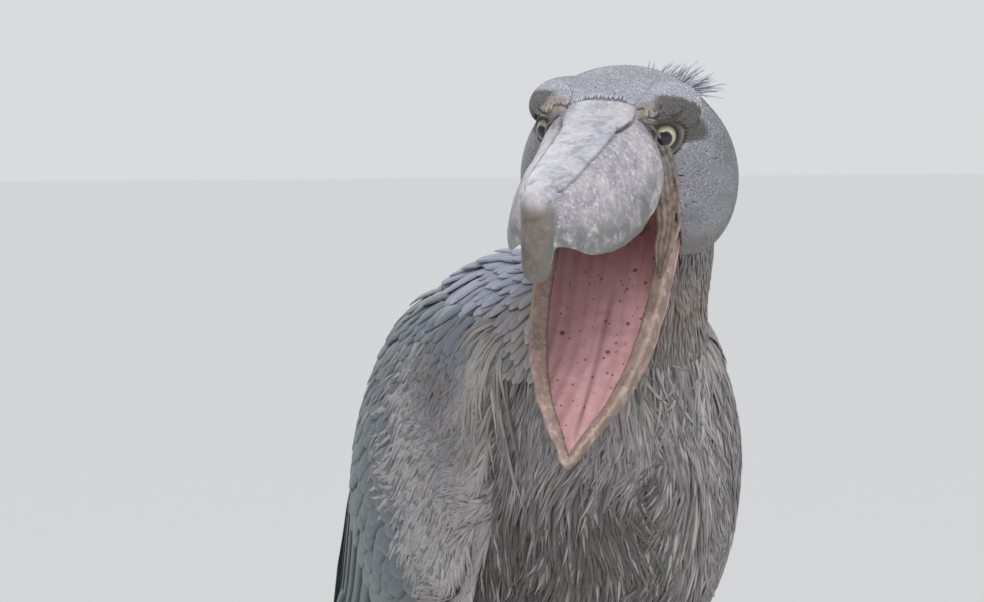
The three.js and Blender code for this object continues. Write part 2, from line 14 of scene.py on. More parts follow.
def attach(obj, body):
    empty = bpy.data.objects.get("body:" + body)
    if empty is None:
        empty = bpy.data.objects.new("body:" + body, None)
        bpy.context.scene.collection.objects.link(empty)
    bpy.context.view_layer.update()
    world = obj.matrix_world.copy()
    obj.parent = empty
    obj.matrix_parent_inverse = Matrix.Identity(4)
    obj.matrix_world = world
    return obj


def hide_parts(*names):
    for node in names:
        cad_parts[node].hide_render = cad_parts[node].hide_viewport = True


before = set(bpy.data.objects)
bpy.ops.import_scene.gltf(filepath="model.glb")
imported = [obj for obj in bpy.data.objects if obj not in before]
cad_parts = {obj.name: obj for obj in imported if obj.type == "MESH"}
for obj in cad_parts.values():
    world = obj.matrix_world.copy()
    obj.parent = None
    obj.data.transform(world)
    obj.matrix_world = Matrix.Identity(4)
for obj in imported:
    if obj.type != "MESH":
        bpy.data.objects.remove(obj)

logging.basicConfig(level=logging.INFO, format="%(message)s")
log = logging.getLogger("shoebill")

MM = 0.001
SIDES = {"left": 1.0, "right": -1.0}

# Where the head stands, as in the construction, in millimetres and degrees
STAND = np.array([24.0, -55.0, 0.0])
EYE_MIDDLE = np.array([-78.0, -212.0, 1000.0]) + STAND
HEAD_TURN, HEAD_NOD, HEAD_TILT = -49.0, 18.0, 2.5
GAPE = np.array([0.0, 17.0, -53.0])
GAPE_ANGLE = 46.0

Array = np.ndarray
Colour = tuple[float, float, float]
Form = bmesh.types.BMesh
Look = dict[str, object]
Material = bpy.types.Material
Piece = bpy.types.Object
Place = Callable[[Array, Array], Array]
Random = np.random.Generator
Socket = bpy.types.NodeSocket
Table = tuple[tuple, ...]


def turning(degrees: float, axis: str) -> Array:
    """Rotation matrix about one axis.

    Args:
        degrees: Angle by the right-hand rule.
        axis: "X", "Y" or "Z".

    Returns:
        A 3 by 3 array.
    """
    return np.array(Matrix.Rotation(math.radians(degrees), 3, axis))


HEAD_AXES = turning(HEAD_TURN, "Z") @ turning(HEAD_NOD, "X") @ turning(HEAD_TILT, "Y")
LOWER_AXES = turning(GAPE_ANGLE, "X")


def from_head(points: Array) -> Array:
    """Head points (x to the bird's left, -y along the bill, z up, mm) in the bird's frame."""
    return points @ HEAD_AXES.T + EYE_MIDDLE


def to_head(points: Array) -> Array:
    """Points of the bird's frame in the head's frame, in millimetres."""
    return (points - EYE_MIDDLE) @ HEAD_AXES


def from_lower(points: Array) -> Array:
    """Points of the lower bill's frame in the bird's frame, in millimetres."""
    return from_head(points @ LOWER_AXES.T + GAPE)


def to_lower(points: Array) -> Array:
    """Points of the bird's frame in the lower bill's frame, in millimetres."""
    return (to_head(points) - GAPE) @ LOWER_AXES


def stack(*parts: Array | float) -> Array:
    """Coordinates joined into points, along a new last axis."""
    return np.stack(np.broadcast_arrays(*[np.asarray(p, float) for p in parts]), axis=-1)


def unit(vectors: Array) -> Array:
    """The same directions at length one."""
    return vectors / np.maximum(np.linalg.norm(vectors, axis=-1, keepdims=True), 1e-12)


def ramp(values: Array, low: float, high: float) -> Array:
    """A smooth step from 0 at low to 1 at high.

    Args:
        values: Any array.
        low: Value that gives 0.
        high: Value that gives 1. It may lie below low.

    Returns:
        An array of the same shape, from 0 to 1.
    """
    t = np.clip((values - low) / (high - low), 0.0, 1.0)
    return t * t * (3.0 - 2.0 * t)


def linear(red: float, green: float, blue: float) -> Array:
    """A display colour, each part 0 to 255, as linear light."""
    c = np.array([red, green, blue], float) / 255.0
    return np.where(c <= 0.04045, c / 12.92, ((c + 0.055) / 1.055) ** 2.4)


def tone(red: float, green: float, blue: float) -> Colour:
    """A display colour as linear light, for a finish."""
    return tuple(linear(red, green, blue))


def ripple(points: Array, size: float, seed: int) -> Array:
    """Smooth seeded noise in space.

    Args:
        points: Points in millimetres.
        size: Rough distance between a high and the next.
        seed: Which noise.

    Returns:
        Values of about -1 to 1, one a point.
    """
    rng = np.random.default_rng(seed)
    total = np.zeros(points.shape[:-1])
    for _ in range(7):
        way = unit(rng.normal(size=3))
        wave = 2.0 * math.pi / (size * rng.uniform(0.7, 1.6))
        total += np.sin(points @ way * wave + rng.uniform(0.0, 6.28))
    return total / 3.2


class Spline:
    """A smooth line through points, with even spacing by point number."""

    def __init__(self, points: Sequence[Sequence[float]]) -> None:
        """Keeps the points and one more beyond each end."""
        p = np.asarray(points, float)
        self.count, self.padded = len(p), np.vstack([2 * p[0] - p[1], p, 2 * p[-1] - p[-2]])

    def at(self, t: Array) -> Array:
        """Points of the line.

        Args:
            t: Share of the way from the first point to the last.

        Returns:
            One point for each share.
        """
        place = np.clip(np.asarray(t, float), 0.0, 1.0) * (self.count - 1)
        first = np.minimum(place.astype(int), self.count - 2)
        w = (place - first)[..., None]
        a, b, c, d = (self.padded[first + k] for k in range(4))
        ab, bc, cd = (
            np.maximum(np.sum((q - p) ** 2, axis=-1, keepdims=True) ** 0.25, 1e-4)
            for p, q in ((a, b), (b, c), (c, d))
        )
        start = ((b - a) / ab - (c - a) / (ab + bc) + (c - b) / bc) * bc
        end = ((c - b) / bc - (d - b) / (bc + cd) + (d - c) / cd) * bc
        square = -3 * b + 3 * c - 2 * start - end
        cube = 2 * b - 2 * c + start + end
        return b + w * (start + w * (square + w * cube))


class Surface:
    """A closed form on which feathers grow, by two numbers u and v."""

    steps = (0.01, 0.01)
    low = (0.0, 0.0)
    high = (1.0, 1.0)

    def point(self, u: Array, v: Array, lift: Array | float = 0.0) -> Array:
        """The point at u and v, lift millimetres outside the form."""
        raise NotImplementedError

    def axes(self, u: Array, v: Array) -> tuple[Array, Array, Array]:
        """Slopes of the form and its outward normal.

        Args:
            u: First numbers.
            v: Second numbers.

        Returns:
            Change of the point with u, its change with v, and the unit normal.
        """
        du, dv = self.steps
        along = (self.point(u + du, v) - self.point(u - du, v)) / (2 * du)
        round_ = (self.point(u, v + dv) - self.point(u, v - dv)) / (2 * dv)
        normal = unit(np.cross(along, round_))
        outward = self.point(u, v, 5.0) - self.point(u, v)
        sign = np.sign(np.sum(normal * outward, axis=-1, keepdims=True))
        return along, round_, normal * np.where(sign == 0, 1.0, sign)

    def reach(self, u: Array, v: Array, way: Array, length: Array) -> Array:
        """Where a feather's tip lies.

        Args:
            u: First numbers of the roots.
            v: Second numbers of the roots.
            way: Directions in space in which the feathers lie.
            length: Lengths in millimetres.

        Returns:
            The tips' numbers, as an array of pairs.
        """
        along, round_, normal = self.axes(u, v)
        flat = unit(way - normal * np.sum(way * normal, axis=-1, keepdims=True)) * length[:, None]
        aa, bb, ab = (np.sum(p * q, axis=-1) for p, q in ((along, along), (round_, round_), (along, round_)))
        af, bf = np.sum(along * flat, axis=-1), np.sum(round_ * flat, axis=-1)
        det = np.maximum(aa * bb - ab * ab, 1e-9)
        return stack(u + (af * bb - bf * ab) / det, v + (bf * aa - af * ab) / det)

    def unwrap(self, u: Array, v: Array) -> Array:
        """Places on the flat unwrap of the form, from 0 to 1."""
        share = (stack(u, v) - self.low) / np.subtract(self.high, self.low)
        return np.clip(share, 0.0, 1.0) * 0.99 + 0.003

    def rows(
        self, levels: Array, reach: tuple[float, float], gap: float, rng: Random, jitter: float = 0.3
    ) -> tuple[Array, Array]:
        """Even, staggered feather roots.

        Args:
            levels: First numbers, one a row.
            reach: Lowest and highest second number.
            gap: Distance between neighbours of a row, in millimetres.
            rng: Seeded source of the unevenness.
            jitter: How uneven, as a share of the gap.

        Returns:
            First and second numbers of the roots.
        """
        us, vs = [], []
        fine = np.linspace(reach[0], reach[1], 160)
        step = float(np.mean(np.abs(np.diff(levels)))) if len(levels) > 1 else 0.0
        for i, level in enumerate(levels):
            line = self.point(np.full_like(fine, level), fine)
            run = np.concatenate([[0.0], np.cumsum(np.linalg.norm(np.diff(line, axis=0), axis=1))])
            count = max(int(run[-1] / gap), 1)
            uneven = rng.uniform(-jitter, jitter, count)
            at = (np.arange(count) + 0.25 + 0.5 * (i % 2) + uneven) * run[-1] / count
            vs.append(np.interp(np.clip(at, 0.0, run[-1]), run, fine))
            us.append(level + rng.uniform(-jitter, jitter, count) * step)
        return np.concatenate(us), np.concatenate(vs)


def fuller(values: Array, power: float) -> Array:
    """Sine-like values pushed outwards, keeping their sign."""
    return np.sign(values) * np.abs(values) ** power


class TrunkCoat(Surface):
    """Outside of the trunk's plumage: u is the rib number, v degrees from the back to the left.

    A rib holds the way back and the height of its top, the same of its keel, and its half width.
    """

    steps = (0.04, 1.0)
    low = (0.0, -180.0)
    high = (11.0, 180.0)
    fullness = 0.9
    ribs = np.array([
        [-112, 882, -150, 852, 26],
        [-80, 892, -180, 800, 59],
        [-25, 898, -192, 722, 88],
        [35, 897, -176, 645, 107],
        [93, 879, -132, 582, 116],
        [147, 842, -62, 540, 113],
        [203, 781, 20, 516, 98],
        [254, 706, 100, 510, 71],
        [298, 640, 184, 520, 45],
        [332, 594, 254, 542, 27],
        [398, 526, 340, 490, 32],
        [452, 452, 405, 428, 26],
    ], float)

    def __init__(self) -> None:
        """Makes the lines of the back and the keel."""
        self.ridge = Spline(self.ribs[:, [4, 0, 1]])
        self.keel = Spline(self.ribs[:, [4, 2, 3]] * [0, 1, 1])

    def point(self, u: Array, v: Array, lift: Array | float = 0.0) -> Array:
        """Points of the trunk.

        Args:
            u: Rib numbers.
            v: Degrees from the back to the left.
            lift: Millimetres outside the coat.

        Returns:
            Points in millimetres.
        """
        t = np.asarray(u, float) / (len(self.ribs) - 1)
        top, low = self.ridge.at(t), self.keel.at(t)
        middle, half = (top + low) / 2, (top - low) / 2
        half = half * [0, 1, 1]
        deep = np.linalg.norm(half, axis=-1) + lift
        angle = np.radians(v)
        rise = (deep * fuller(np.cos(angle), self.fullness))[..., None] * unit(half)
        out = (top[..., 0] + lift) * fuller(np.sin(angle), self.fullness)
        return rise + stack(out, middle[..., 1], middle[..., 2]) + STAND


class WingCoat(Surface):
    """Outside of a folded wing's solid part: u from shoulder to rear, v from its top edge to its lower edge.

    Its edges lie at top and base degrees from the back, and it is thick millimetres deep in the middle.
    """

    steps = (0.01, 0.01)
    low = (0.0, -1.0)
    high = (1.0, 1.0)
    top = (62, 32, 16, 11, 10)
    base = (82, 108, 117, 114, 98)
    thick = (7, 14, 14, 11, 5)
    first_rib = 2.3
    rib_count = 5.3

    def __init__(self, trunk: TrunkCoat, side: float) -> None:
        """Keeps the trunk that the wing lies on, and its side."""
        self.trunk, self.side = trunk, side

    def rib(self, u: Array) -> Array:
        """The trunk's rib numbers below the wing."""
        return self.first_rib + self.rib_count * np.asarray(u)

    def angle(self, u: Array, v: Array) -> Array:
        """Degrees down from the back at places of the wing."""
        top, low = (np.interp(u, np.linspace(0.0, 1.0, 5), row) for row in (self.top, self.base))
        return (top + low) / 2 + (low - top) / 2 * v

    def point(self, u: Array, v: Array, lift: Array | float = 0.0) -> Array:
        """Points of the wing.

        Args:
            u: Shares of the way back from the shoulder.
            v: Places from the top edge at -1 to the lower edge at 1.
            lift: Millimetres outside the coat.

        Returns:
            Points in millimetres.
        """
        s = np.clip(u, 0.0, 1.0)
        thick = np.interp(s, np.linspace(0.0, 1.0, 5), self.thick)
        edge = np.clip(1.0 - np.asarray(v) ** 2, 0.0, 1.0) ** 0.35
        swell = np.sin(math.pi * np.clip(s * 0.96 + 0.03, 0.0, 1.0)) ** 0.45
        return self.trunk.point(self.rib(u), self.side * self.angle(s, v), thick * edge * swell + lift)


class SkullCoat(Surface):
    """Outside of the head's plumage: u degrees from the nape to the bill, v degrees from the crown.

    It is a blend of egg shapes: how far aside, ahead and up their middles are, and their three half sizes.
    """

    steps = (0.8, 0.8)
    low = (0.0, -180.0)
    high = (180.0, 180.0)
    middle = np.array([0.0, 46.0, -26.0])
    blend = 14
    forms = (
        (0, -38, -5, 66, 62, 43),
        (20, -76, -22, 44, 40, 36),
        (-20, -76, -22, 44, 40, 36),
        (0, -4, 0, 44, 30, 27),
        (49, -50, -57, 39, 58, 60),
        (-49, -50, -57, 39, 58, 60),
        (47, -24, 13, 23, 30, 18),
        (-47, -24, 13, 23, 30, 18),
        (43, -2, 20, 17, 26, 8),
        (-43, -2, 20, 17, 26, 8),
        (0, -84, -60, 62, 48, 58),
    )

    def far(self, way: Array) -> Array:
        """How far the head reaches from its middle.

        Args:
            way: Unit directions.

        Returns:
            Millimetres along each.
        """
        total = np.zeros(way.shape[:-1])
        for aside, ahead, up, wide, long, high in self.forms:
            size = np.array([wide, long, high], float)
            start = (self.middle - np.array([aside, -ahead, up], float)) / size
            ray = way / size
            a, b = np.sum(ray * ray, axis=-1), ray @ start
            inside = b * b - a * (start @ start - 1.0)
            total += np.maximum((np.sqrt(np.maximum(inside, 0.0)) - b) / a, 0.0) ** self.blend * (inside > 0)
        return np.maximum(total, 1.0) ** (1.0 / self.blend)

    def point(self, u: Array, v: Array, lift: Array | float = 0.0) -> Array:
        """Points of the head.

        Args:
            u: Degrees from the nape.
            v: Degrees from the crown to the left.
            lift: Millimetres outside the coat.

        Returns:
            Points in millimetres.
        """
        polar, angle = np.radians(u), np.radians(v)
        way = stack(np.sin(polar) * np.sin(angle), np.cos(polar), np.sin(polar) * np.cos(angle))
        return from_head(way * (self.far(way) + lift)[..., None] + self.middle)


class TubeCoat(Surface):
    """Outside of a limb: u from its start to its end, v degrees round it."""

    steps = (0.01, 1.0)
    low = (0.0, -180.0)
    high = (1.0, 180.0)

    def __init__(self, stations: Sequence[Sequence[float]], side: Sequence[float] = (1.0, 0.0, 0.0)) -> None:
        """Takes stations of x, y, z, half width and half depth, and the way that the width lies."""
        s = np.asarray(stations, float)
        self.path, self.sizes, self.side = Spline(s[:, :3] + STAND), Spline(s[:, 3:]), np.asarray(side, float)

    def point(self, u: Array, v: Array, lift: Array | float = 0.0) -> Array:
        """Points of the limb.

        Args:
            u: Shares of the way along it.
            v: Degrees round it.
            lift: Millimetres outside the coat.

        Returns:
            Points in millimetres.
        """
        u = np.asarray(u, float)
        ahead = unit(self.path.at(np.minimum(u + 0.01, 1)) - self.path.at(np.maximum(u - 0.01, 0)))
        deep = unit(np.cross(ahead, np.broadcast_to(self.side, ahead.shape)))
        wide = unit(np.cross(deep, ahead))
        size, angle = self.sizes.at(u), np.radians(v)
        past = np.maximum(u - 1.0, 0.0) + np.minimum(u, 0.0)
        reach = self.path.at(u) + ahead * (past * 100.0)[..., None]
        return (
            reach
            + wide * ((size[..., 0] + lift) * np.sin(angle))[..., None]
            + deep * ((size[..., 1] + lift) * np.cos(angle))[..., None]
        )


TRUNK = TrunkCoat()
SKULL = SkullCoat()
NECK = TubeCoat([
    (-5, -150, 990, 18, 20),
    (-3, -147, 957, 43, 42),
    (0, -140, 915, 53, 54),
    (0, -126, 868, 54, 60),
    (0, -100, 800, 72, 66),
    (0, -70, 760, 60, 50),
])
THIGHS = {
    name: TubeCoat(
        [
            (side * 58, 0, 640, 40, 52),
            (side * 66, 14, 560, 50, 66),
            (side * 69, 30, 480, 38, 46),
            (side * 71, 44, 410, 21, 24),
            (side * 72, 50, 385, 14, 15),
        ]
    )
    for name, side in SIDES.items()
}


class Net:
    """A short way to write a node tree."""

    def __init__(self, tree: bpy.types.NodeTree) -> None:
        """Keeps the tree."""
        self.tree = tree

    def add(self, kind: str, inputs: dict | None = None, **settings: object) -> bpy.types.Node:
        """A new node.

        Args:
            kind: The node's type name.
            inputs: Values or output sockets for its inputs, by name or number.
            settings: Its own properties.

        Returns:
            The node.
        """
        node = self.tree.nodes.new(kind)
        for name, value in settings.items():
            setattr(node, name, value)
        for name, value in (inputs or {}).items():
            socket = node.inputs[name]
            if isinstance(value, bpy.types.NodeSocket):
                self.tree.links.new(value, socket)
            else:
                socket.default_value = value
        return node

    def place(self) -> Socket:
        """Where each point of the piece is."""
        return self.add("ShaderNodeTexCoord").outputs["Object"]

    def own(self, name: str, output: str = "Color") -> Socket:
        """An attribute that the piece's mesh carries."""
        return self.add("ShaderNodeAttribute", attribute_name=name).outputs[output]

    def parts(self, colour: object) -> Sequence[Socket]:
        """Red, green and blue of a colour."""
        return self.add("ShaderNodeSeparateColor", {0: colour}).outputs

    def grey(self, value: Socket) -> Socket:
        """A value as a grey."""
        return self.add("ShaderNodeCombineColor", {0: value, 1: value, 2: value}).outputs[0]

    def math(self, operation: str, *values: object) -> Socket:
        """The output of a Math node."""
        return self.add("ShaderNodeMath", dict(enumerate(values)), operation=operation).outputs[0]

    def times(self, one: object, other: object) -> Socket:
        """The product of two values."""
        return self.math("MULTIPLY", one, other)

    def vectors(self, operation: str, one: object, other: object) -> Socket:
        """The output of a Vector Math node."""
        return self.add("ShaderNodeVectorMath", {0: one, 1: other}, operation=operation).outputs[0]

    def mix(self, share: object, one: object, other: object, blend: str = "MIX") -> Socket:
        """The output of a colour mix."""
        node = self.add("ShaderNodeMix", {0: share, 6: one, 7: other}, data_type="RGBA", blend_type=blend)
        return node.outputs[2]

    def grade(self, value: object, low: float, high: float, start: float = 0.0, end: float = 1.0) -> Socket:
        """A value mapped from one range to another, clamped."""
        node = self.add("ShaderNodeMapRange", {0: value, 1: low, 2: high, 3: start, 4: end}, clamp=True)
        return node.outputs[0]

    def noise(
        self, place: object, scale: float, detail: float = 4.0, rough: float = 0.55, twist: float = 0.0
    ) -> Socket:
        """The value of a noise texture."""
        inputs = {"Vector": place, "Scale": scale, "Detail": detail, "Roughness": rough, "Distortion": twist}
        return self.add("ShaderNodeTexNoise", inputs).outputs["Fac"]

    def relief(self, strength: float, distance: float, height: Socket) -> Socket:
        """The normals of a surface with small bumps."""
        inputs = {"Strength": strength, "Distance": distance, "Height": height}
        return self.add("ShaderNodeBump", inputs).outputs[0]


def rgba(colour: Sequence[float]) -> tuple[float, float, float, float]:
    """A colour with full alpha."""
    return (float(colour[0]), float(colour[1]), float(colour[2]), 1.0)


def dimmed(colour: Colour, share: float) -> tuple[float, float, float, float]:
    """A darker or paler form of a colour, with full alpha."""
    return rgba(np.array(colour) * share)


def barbs_group() -> bpy.types.NodeTree:
    """The shared look of a vane: barbs that slant from the shaft, its paler fringe and painted shade towards
    its root.

    Returns:
        A group with inputs Tint, Fringe and Barbs, and outputs Color and Height.
    """
    name = "Barbs"
    if name in bpy.data.node_groups:
        return bpy.data.node_groups[name]
    tree = bpy.data.node_groups.new(name, "ShaderNodeTree")
    for socket, way, kind in (
        ("Tint", "INPUT", "Color"),
        ("Fringe", "INPUT", "Float"),
        ("Barbs", "INPUT", "Float"),
        ("Color", "OUTPUT", "Color"),
        ("Height", "OUTPUT", "Float"),
    ):
        tree.interface.new_socket(socket, in_out=way, socket_type="NodeSocket" + kind)
    net = Net(tree)
    given = net.add("NodeGroupInput").outputs
    vane = net.add("ShaderNodeUVMap", uv_map="Vane").outputs[0]
    part = net.add("ShaderNodeSeparateXYZ", {0: vane}).outputs
    off = net.math("ABSOLUTE", net.math("SUBTRACT", net.times(part[0], 2.0), 1.0))
    slant = net.math("SUBTRACT", part[1], net.times(off, 0.28))
    spot = net.add("ShaderNodeCombineXYZ", {0: net.times(off, 0.5), 1: net.times(slant, 30.0)}).outputs[0]
    far = net.vectors("MULTIPLY", net.place(), (9.0, 9.0, 9.0))
    strand = net.noise(net.vectors("ADD", spot, far), 2.2, 3.0, 0.7)
    line = net.grade(strand, 0.25, 0.75, 0.62, 1.3)
    barbed = net.mix(given["Barbs"], (1.0, 1.0, 1.0, 1.0), net.grey(line))
    body = net.mix(1.0, given["Tint"], barbed, "MULTIPLY")
    dark_shaft = net.mix(1.0, body, (0.5, 0.5, 0.52, 1.0), "MULTIPLY")
    shafted = net.mix(net.grade(off, 0.04, 0.1, 0.35, 0.0), body, dark_shaft)
    rim = net.math("MAXIMUM", net.grade(off, 0.72, 1.0), net.grade(part[1], 0.86, 1.0))
    pale = net.mix(1.0, shafted, (1.9, 1.9, 1.95, 1.0), "MULTIPLY")
    rimmed = net.mix(net.times(rim, given["Fringe"]), shafted, pale)
    # Painted shade towards the root, where each feather lies under its neighbours
    root_shade = net.grade(part[1], 0.0, 0.4, 0.72, 1.0)
    final = net.mix(1.0, rimmed, net.grey(root_shade), "MULTIPLY")
    high = net.math("ADD", strand, net.times(net.grade(off, 0.0, 0.1, 1.0, 0.0), 0.8))
    net.add("NodeGroupOutput", {"Color": final, "Height": high})
    return tree


@dataclass(frozen=True)
class Finish:
    """What every finish shares: its name, and the material round its look."""

    name: str

    def look(self, net: Net) -> Look:
        """The inputs of the surface, by name."""
        raise NotImplementedError

    def build(self) -> Material:
        """Makes the material.

        Returns:
            A material with one Principled surface.
        """
        material = bpy.data.materials.new(self.name)
        material.use_nodes = True
        net = Net(material.node_tree)
        net.tree.nodes.clear()
        surface = net.add("ShaderNodeBsdfPrincipled", self.look(net))
        net.add("ShaderNodeOutputMaterial", {0: surface.outputs[0]})
        return material


@dataclass(frozen=True)
class FeatherFinish(Finish):
    """Feathers: their tint comes with the mesh, their barbs from the vane's own map, and any gloss is a
    painted sheen mixed into the colour where they are seen edge-on.
    """

    roughness: float = 0.75
    fringe: float = 0.35
    barbs: float = 0.6
    bump: float = 0.3
    sheen: float = 0.25
    painted_gloss: Colour | None = None

    def look(self, net: Net) -> Look:
        """The look of a feather.

        Args:
            net: The material's nodes.

        Returns:
            The inputs of the surface.
        """
        given = {"Tint": net.own("Plumage"), "Fringe": self.fringe, "Barbs": self.barbs}
        vane = net.add("ShaderNodeGroup", given, node_tree=barbs_group()).outputs
        colour = vane["Color"]
        if self.painted_gloss:
            # Painted sheen: the gloss colour is mixed into the base colour where the feathers are seen
            # edge-on
            facing = net.add("ShaderNodeLayerWeight", {"Blend": 0.4}).outputs["Facing"]
            colour = net.mix(net.times(facing, 0.45), colour, rgba(self.painted_gloss))
        return {
            "Base Color": colour,
            "Roughness": self.roughness,
            "Specular IOR Level": 0.3,
            "Sheen Weight": self.sheen,
            "Sheen Roughness": 0.4,
            "Normal": net.relief(self.bump, 0.0012, vane["Height"]),
        }


@dataclass(frozen=True)
class SkinFinish(Finish):
    """Bare and downy skin: its tint comes with the mesh, over wrinkles and pores."""

    scale: float = 260.0
    wrinkle: float = 0.5
    roughness: float = 0.6

    def look(self, net: Net) -> Look:
        """The look of the skin.

        Args:
            net: The material's nodes.

        Returns:
            The inputs of the surface.
        """
        fine = net.noise(net.place(), self.scale, 5.0, 0.6, 0.6)
        shade = net.grade(fine, 0.25, 0.75, 0.6, 1.35)
        return {
            "Base Color": net.mix(1.0, net.own("Plumage"), net.grey(shade), "MULTIPLY"),
            "Roughness": self.roughness,
            "Subsurface Weight": 0.08,
            "Subsurface Radius": (0.004, 0.002, 0.0015),
            "Normal": net.relief(self.wrinkle, 0.0015, fine),
        }


@dataclass(frozen=True)
class BillFinish(Finish):
    """Bill horn: pale and scratched on the ridge, mottled on the sides and blotched dark by the cutting edge.

    The mesh carries Zone: red on the ridge, green near the cutting edge, blue for painted shade in grooves
    and slits, under the horn and by the mouth's corner, alpha on the nail.
    """

    ridge: Colour
    side: Colour
    warm: Colour
    blotch: Colour
    nail: Colour = (0.45, 0.3, 0.2)
    roughness: float = 0.5
    cloud_scale: float = 45.0
    speck_scale: float = 240.0
    grain_scale: float = 900.0
    crack_scale: float = 105.0

    def cracks(self, net: Net, place: Socket, speck: Socket) -> Socket:
        """Fine crooked lines, where the specks are high.

        Args:
            net: The material's nodes.
            place: Where each point is.
            speck: The value of the specks.

        Returns:
            1 in a line and 0 beside it.
        """
        long = net.vectors("MULTIPLY", place, (1.0, 1.0, 3.2))
        bent = net.add("ShaderNodeTexNoise", {"Vector": place, "Scale": 60.0, "Detail": 2.0}).outputs["Color"]
        crooked = net.vectors("ADD", long, net.vectors("MULTIPLY", bent, (0.012, 0.012, 0.012)))
        cells = {"Vector": crooked, "Scale": self.crack_scale, "Randomness": 1.0}
        gap = net.add("ShaderNodeTexVoronoi", cells, feature="DISTANCE_TO_EDGE").outputs["Distance"]
        return net.times(net.grade(gap, 0.0, 0.04, 1.0, 0.0), net.grade(speck, 0.42, 0.56))

    def look(self, net: Net) -> Look:
        """The look of the horn.

        Args:
            net: The material's nodes.

        Returns:
            The inputs of the surface.
        """
        place = net.place()
        on_ridge, by_edge, painted_shade = net.parts(net.own("Zone"))[:3]
        cloud = net.noise(place, self.cloud_scale, 6.0, 0.65, 0.8)
        speck = net.noise(place, self.speck_scale, 6.0, 0.7, 0.4)
        grain = net.noise(place, self.grain_scale, 3.0, 0.6)
        cracks = self.cracks(net, place, speck)
        colour = net.mix(on_ridge, rgba(self.side), rgba(self.ridge))
        colour = net.mix(net.grade(cloud, 0.36, 0.6, 0.85, 0.0), colour, dimmed(self.side, 0.5))
        colour = net.mix(net.grade(cloud, 0.48, 0.66, 0.0, 0.55), colour, rgba(self.warm))
        chalk = rgba(np.minimum(np.array(self.ridge) * 1.1, 0.8))
        colour = net.mix(net.grade(speck, 0.52, 0.62, 0.0, 0.85), colour, chalk)
        colour = net.mix(net.times(cracks, 0.4), colour, dimmed(self.side, 0.5))
        on_nail = net.times(net.own("Zone", "Alpha"), net.grade(cloud, 0.35, 0.58, 0.75, 1.0))
        colour = net.mix(on_nail, colour, rgba(self.nail))
        blotches = net.grade(net.noise(place, 75.0, 5.0, 0.62, 0.5), 0.3, 0.54)
        colour = net.mix(net.times(net.times(by_edge, blotches), 0.85), colour, rgba(self.blotch))
        pits = net.grade(speck, 0.32, 0.44, 1.0, 0.0)
        colour = net.mix(net.times(pits, 0.5), colour, rgba(self.blotch))
        # Painted shade where the Zone's blue is high: grooves, slits, the horn's underside and the mouth's
        # corner
        colour = net.mix(net.times(painted_shade, 0.75), colour, dimmed(self.blotch, 0.35))
        fine = net.math("SUBTRACT", net.times(grain, 0.25), net.times(cracks, 0.2))
        height = net.math("ADD", net.times(speck, 0.6), fine)
        return {
            "Base Color": colour,
            "Roughness": net.grade(speck, 0.2, 0.8, self.roughness - 0.12, self.roughness + 0.15),
            "Specular IOR Level": 0.45,
            "Subsurface Weight": 0.05,
            "Subsurface Radius": (0.003, 0.002, 0.001),
            "Normal": net.relief(0.28, 0.0012, height),
        }


@dataclass(frozen=True)
class PouchFinish(Finish):
    """Moist pink mouth skin with dark spots, with painted shade towards the throat.

    The mesh carries Zone: red for the painted shade towards the throat, green by the horn, blue for the
    painted shade in folds.
    """

    pale: Colour
    deep: Colour
    spot: Colour
    spots: Table = ((95.0, 0.1, 0.17, 0.0), (210.0, 0.12, 0.2, 3.0))

    def look(self, net: Net) -> Look:
        """The look of the mouth's skin.

        Args:
            net: The material's nodes.

        Returns:
            The inputs of the surface.
        """
        place = net.place()
        throat_shade, _, fold_shade = net.parts(net.own("Zone"))[:3]
        cloud = net.noise(place, 60.0, 5.0, 0.6, 1.0)
        # Painted shade: darker towards the throat, under the upper bill
        colour = net.mix(throat_shade, rgba(self.pale), rgba(self.deep))
        colour = net.mix(net.grade(cloud, 0.4, 0.7, 0.0, 0.35), colour, rgba(self.deep))
        for scale, low, high, shift in self.spots:
            moved = net.vectors("ADD", place, (shift, shift, 0.0))
            cells = {"Vector": moved, "Scale": scale, "Randomness": 1.0}
            dots = net.add("ShaderNodeTexVoronoi", cells).outputs
            pick = net.parts(dots["Color"])
            size = net.times(net.grade(pick[0], 0.34, 0.5), net.grade(pick[1], 0.0, 1.0, 0.5, 1.5))
            inside = net.math("SUBTRACT", net.times(size, high), dots["Distance"])
            colour = net.mix(net.times(net.grade(inside, 0.0, high - low), 0.85), colour, rgba(self.spot))
        # Painted shade in the folds, along the seam and at the back of the pouch
        colour = net.mix(net.times(fold_shade, 0.8), colour, dimmed(self.spot, 0.7))
        fine = net.noise(place, 480.0, 4.0, 0.6, 0.5)
        height = net.math("ADD", net.times(fine, 0.5), net.times(cloud, 0.8))
        return {
            "Base Color": colour,
            "Roughness": 0.42,
            "Specular IOR Level": 0.5,
            "Subsurface Weight": 0.18,
            "Subsurface Radius": (0.006, 0.002, 0.0015),
            "Coat Weight": 0.15,
            "Coat Roughness": 0.3,
            "Normal": net.relief(0.3, 0.0015, height),
        }


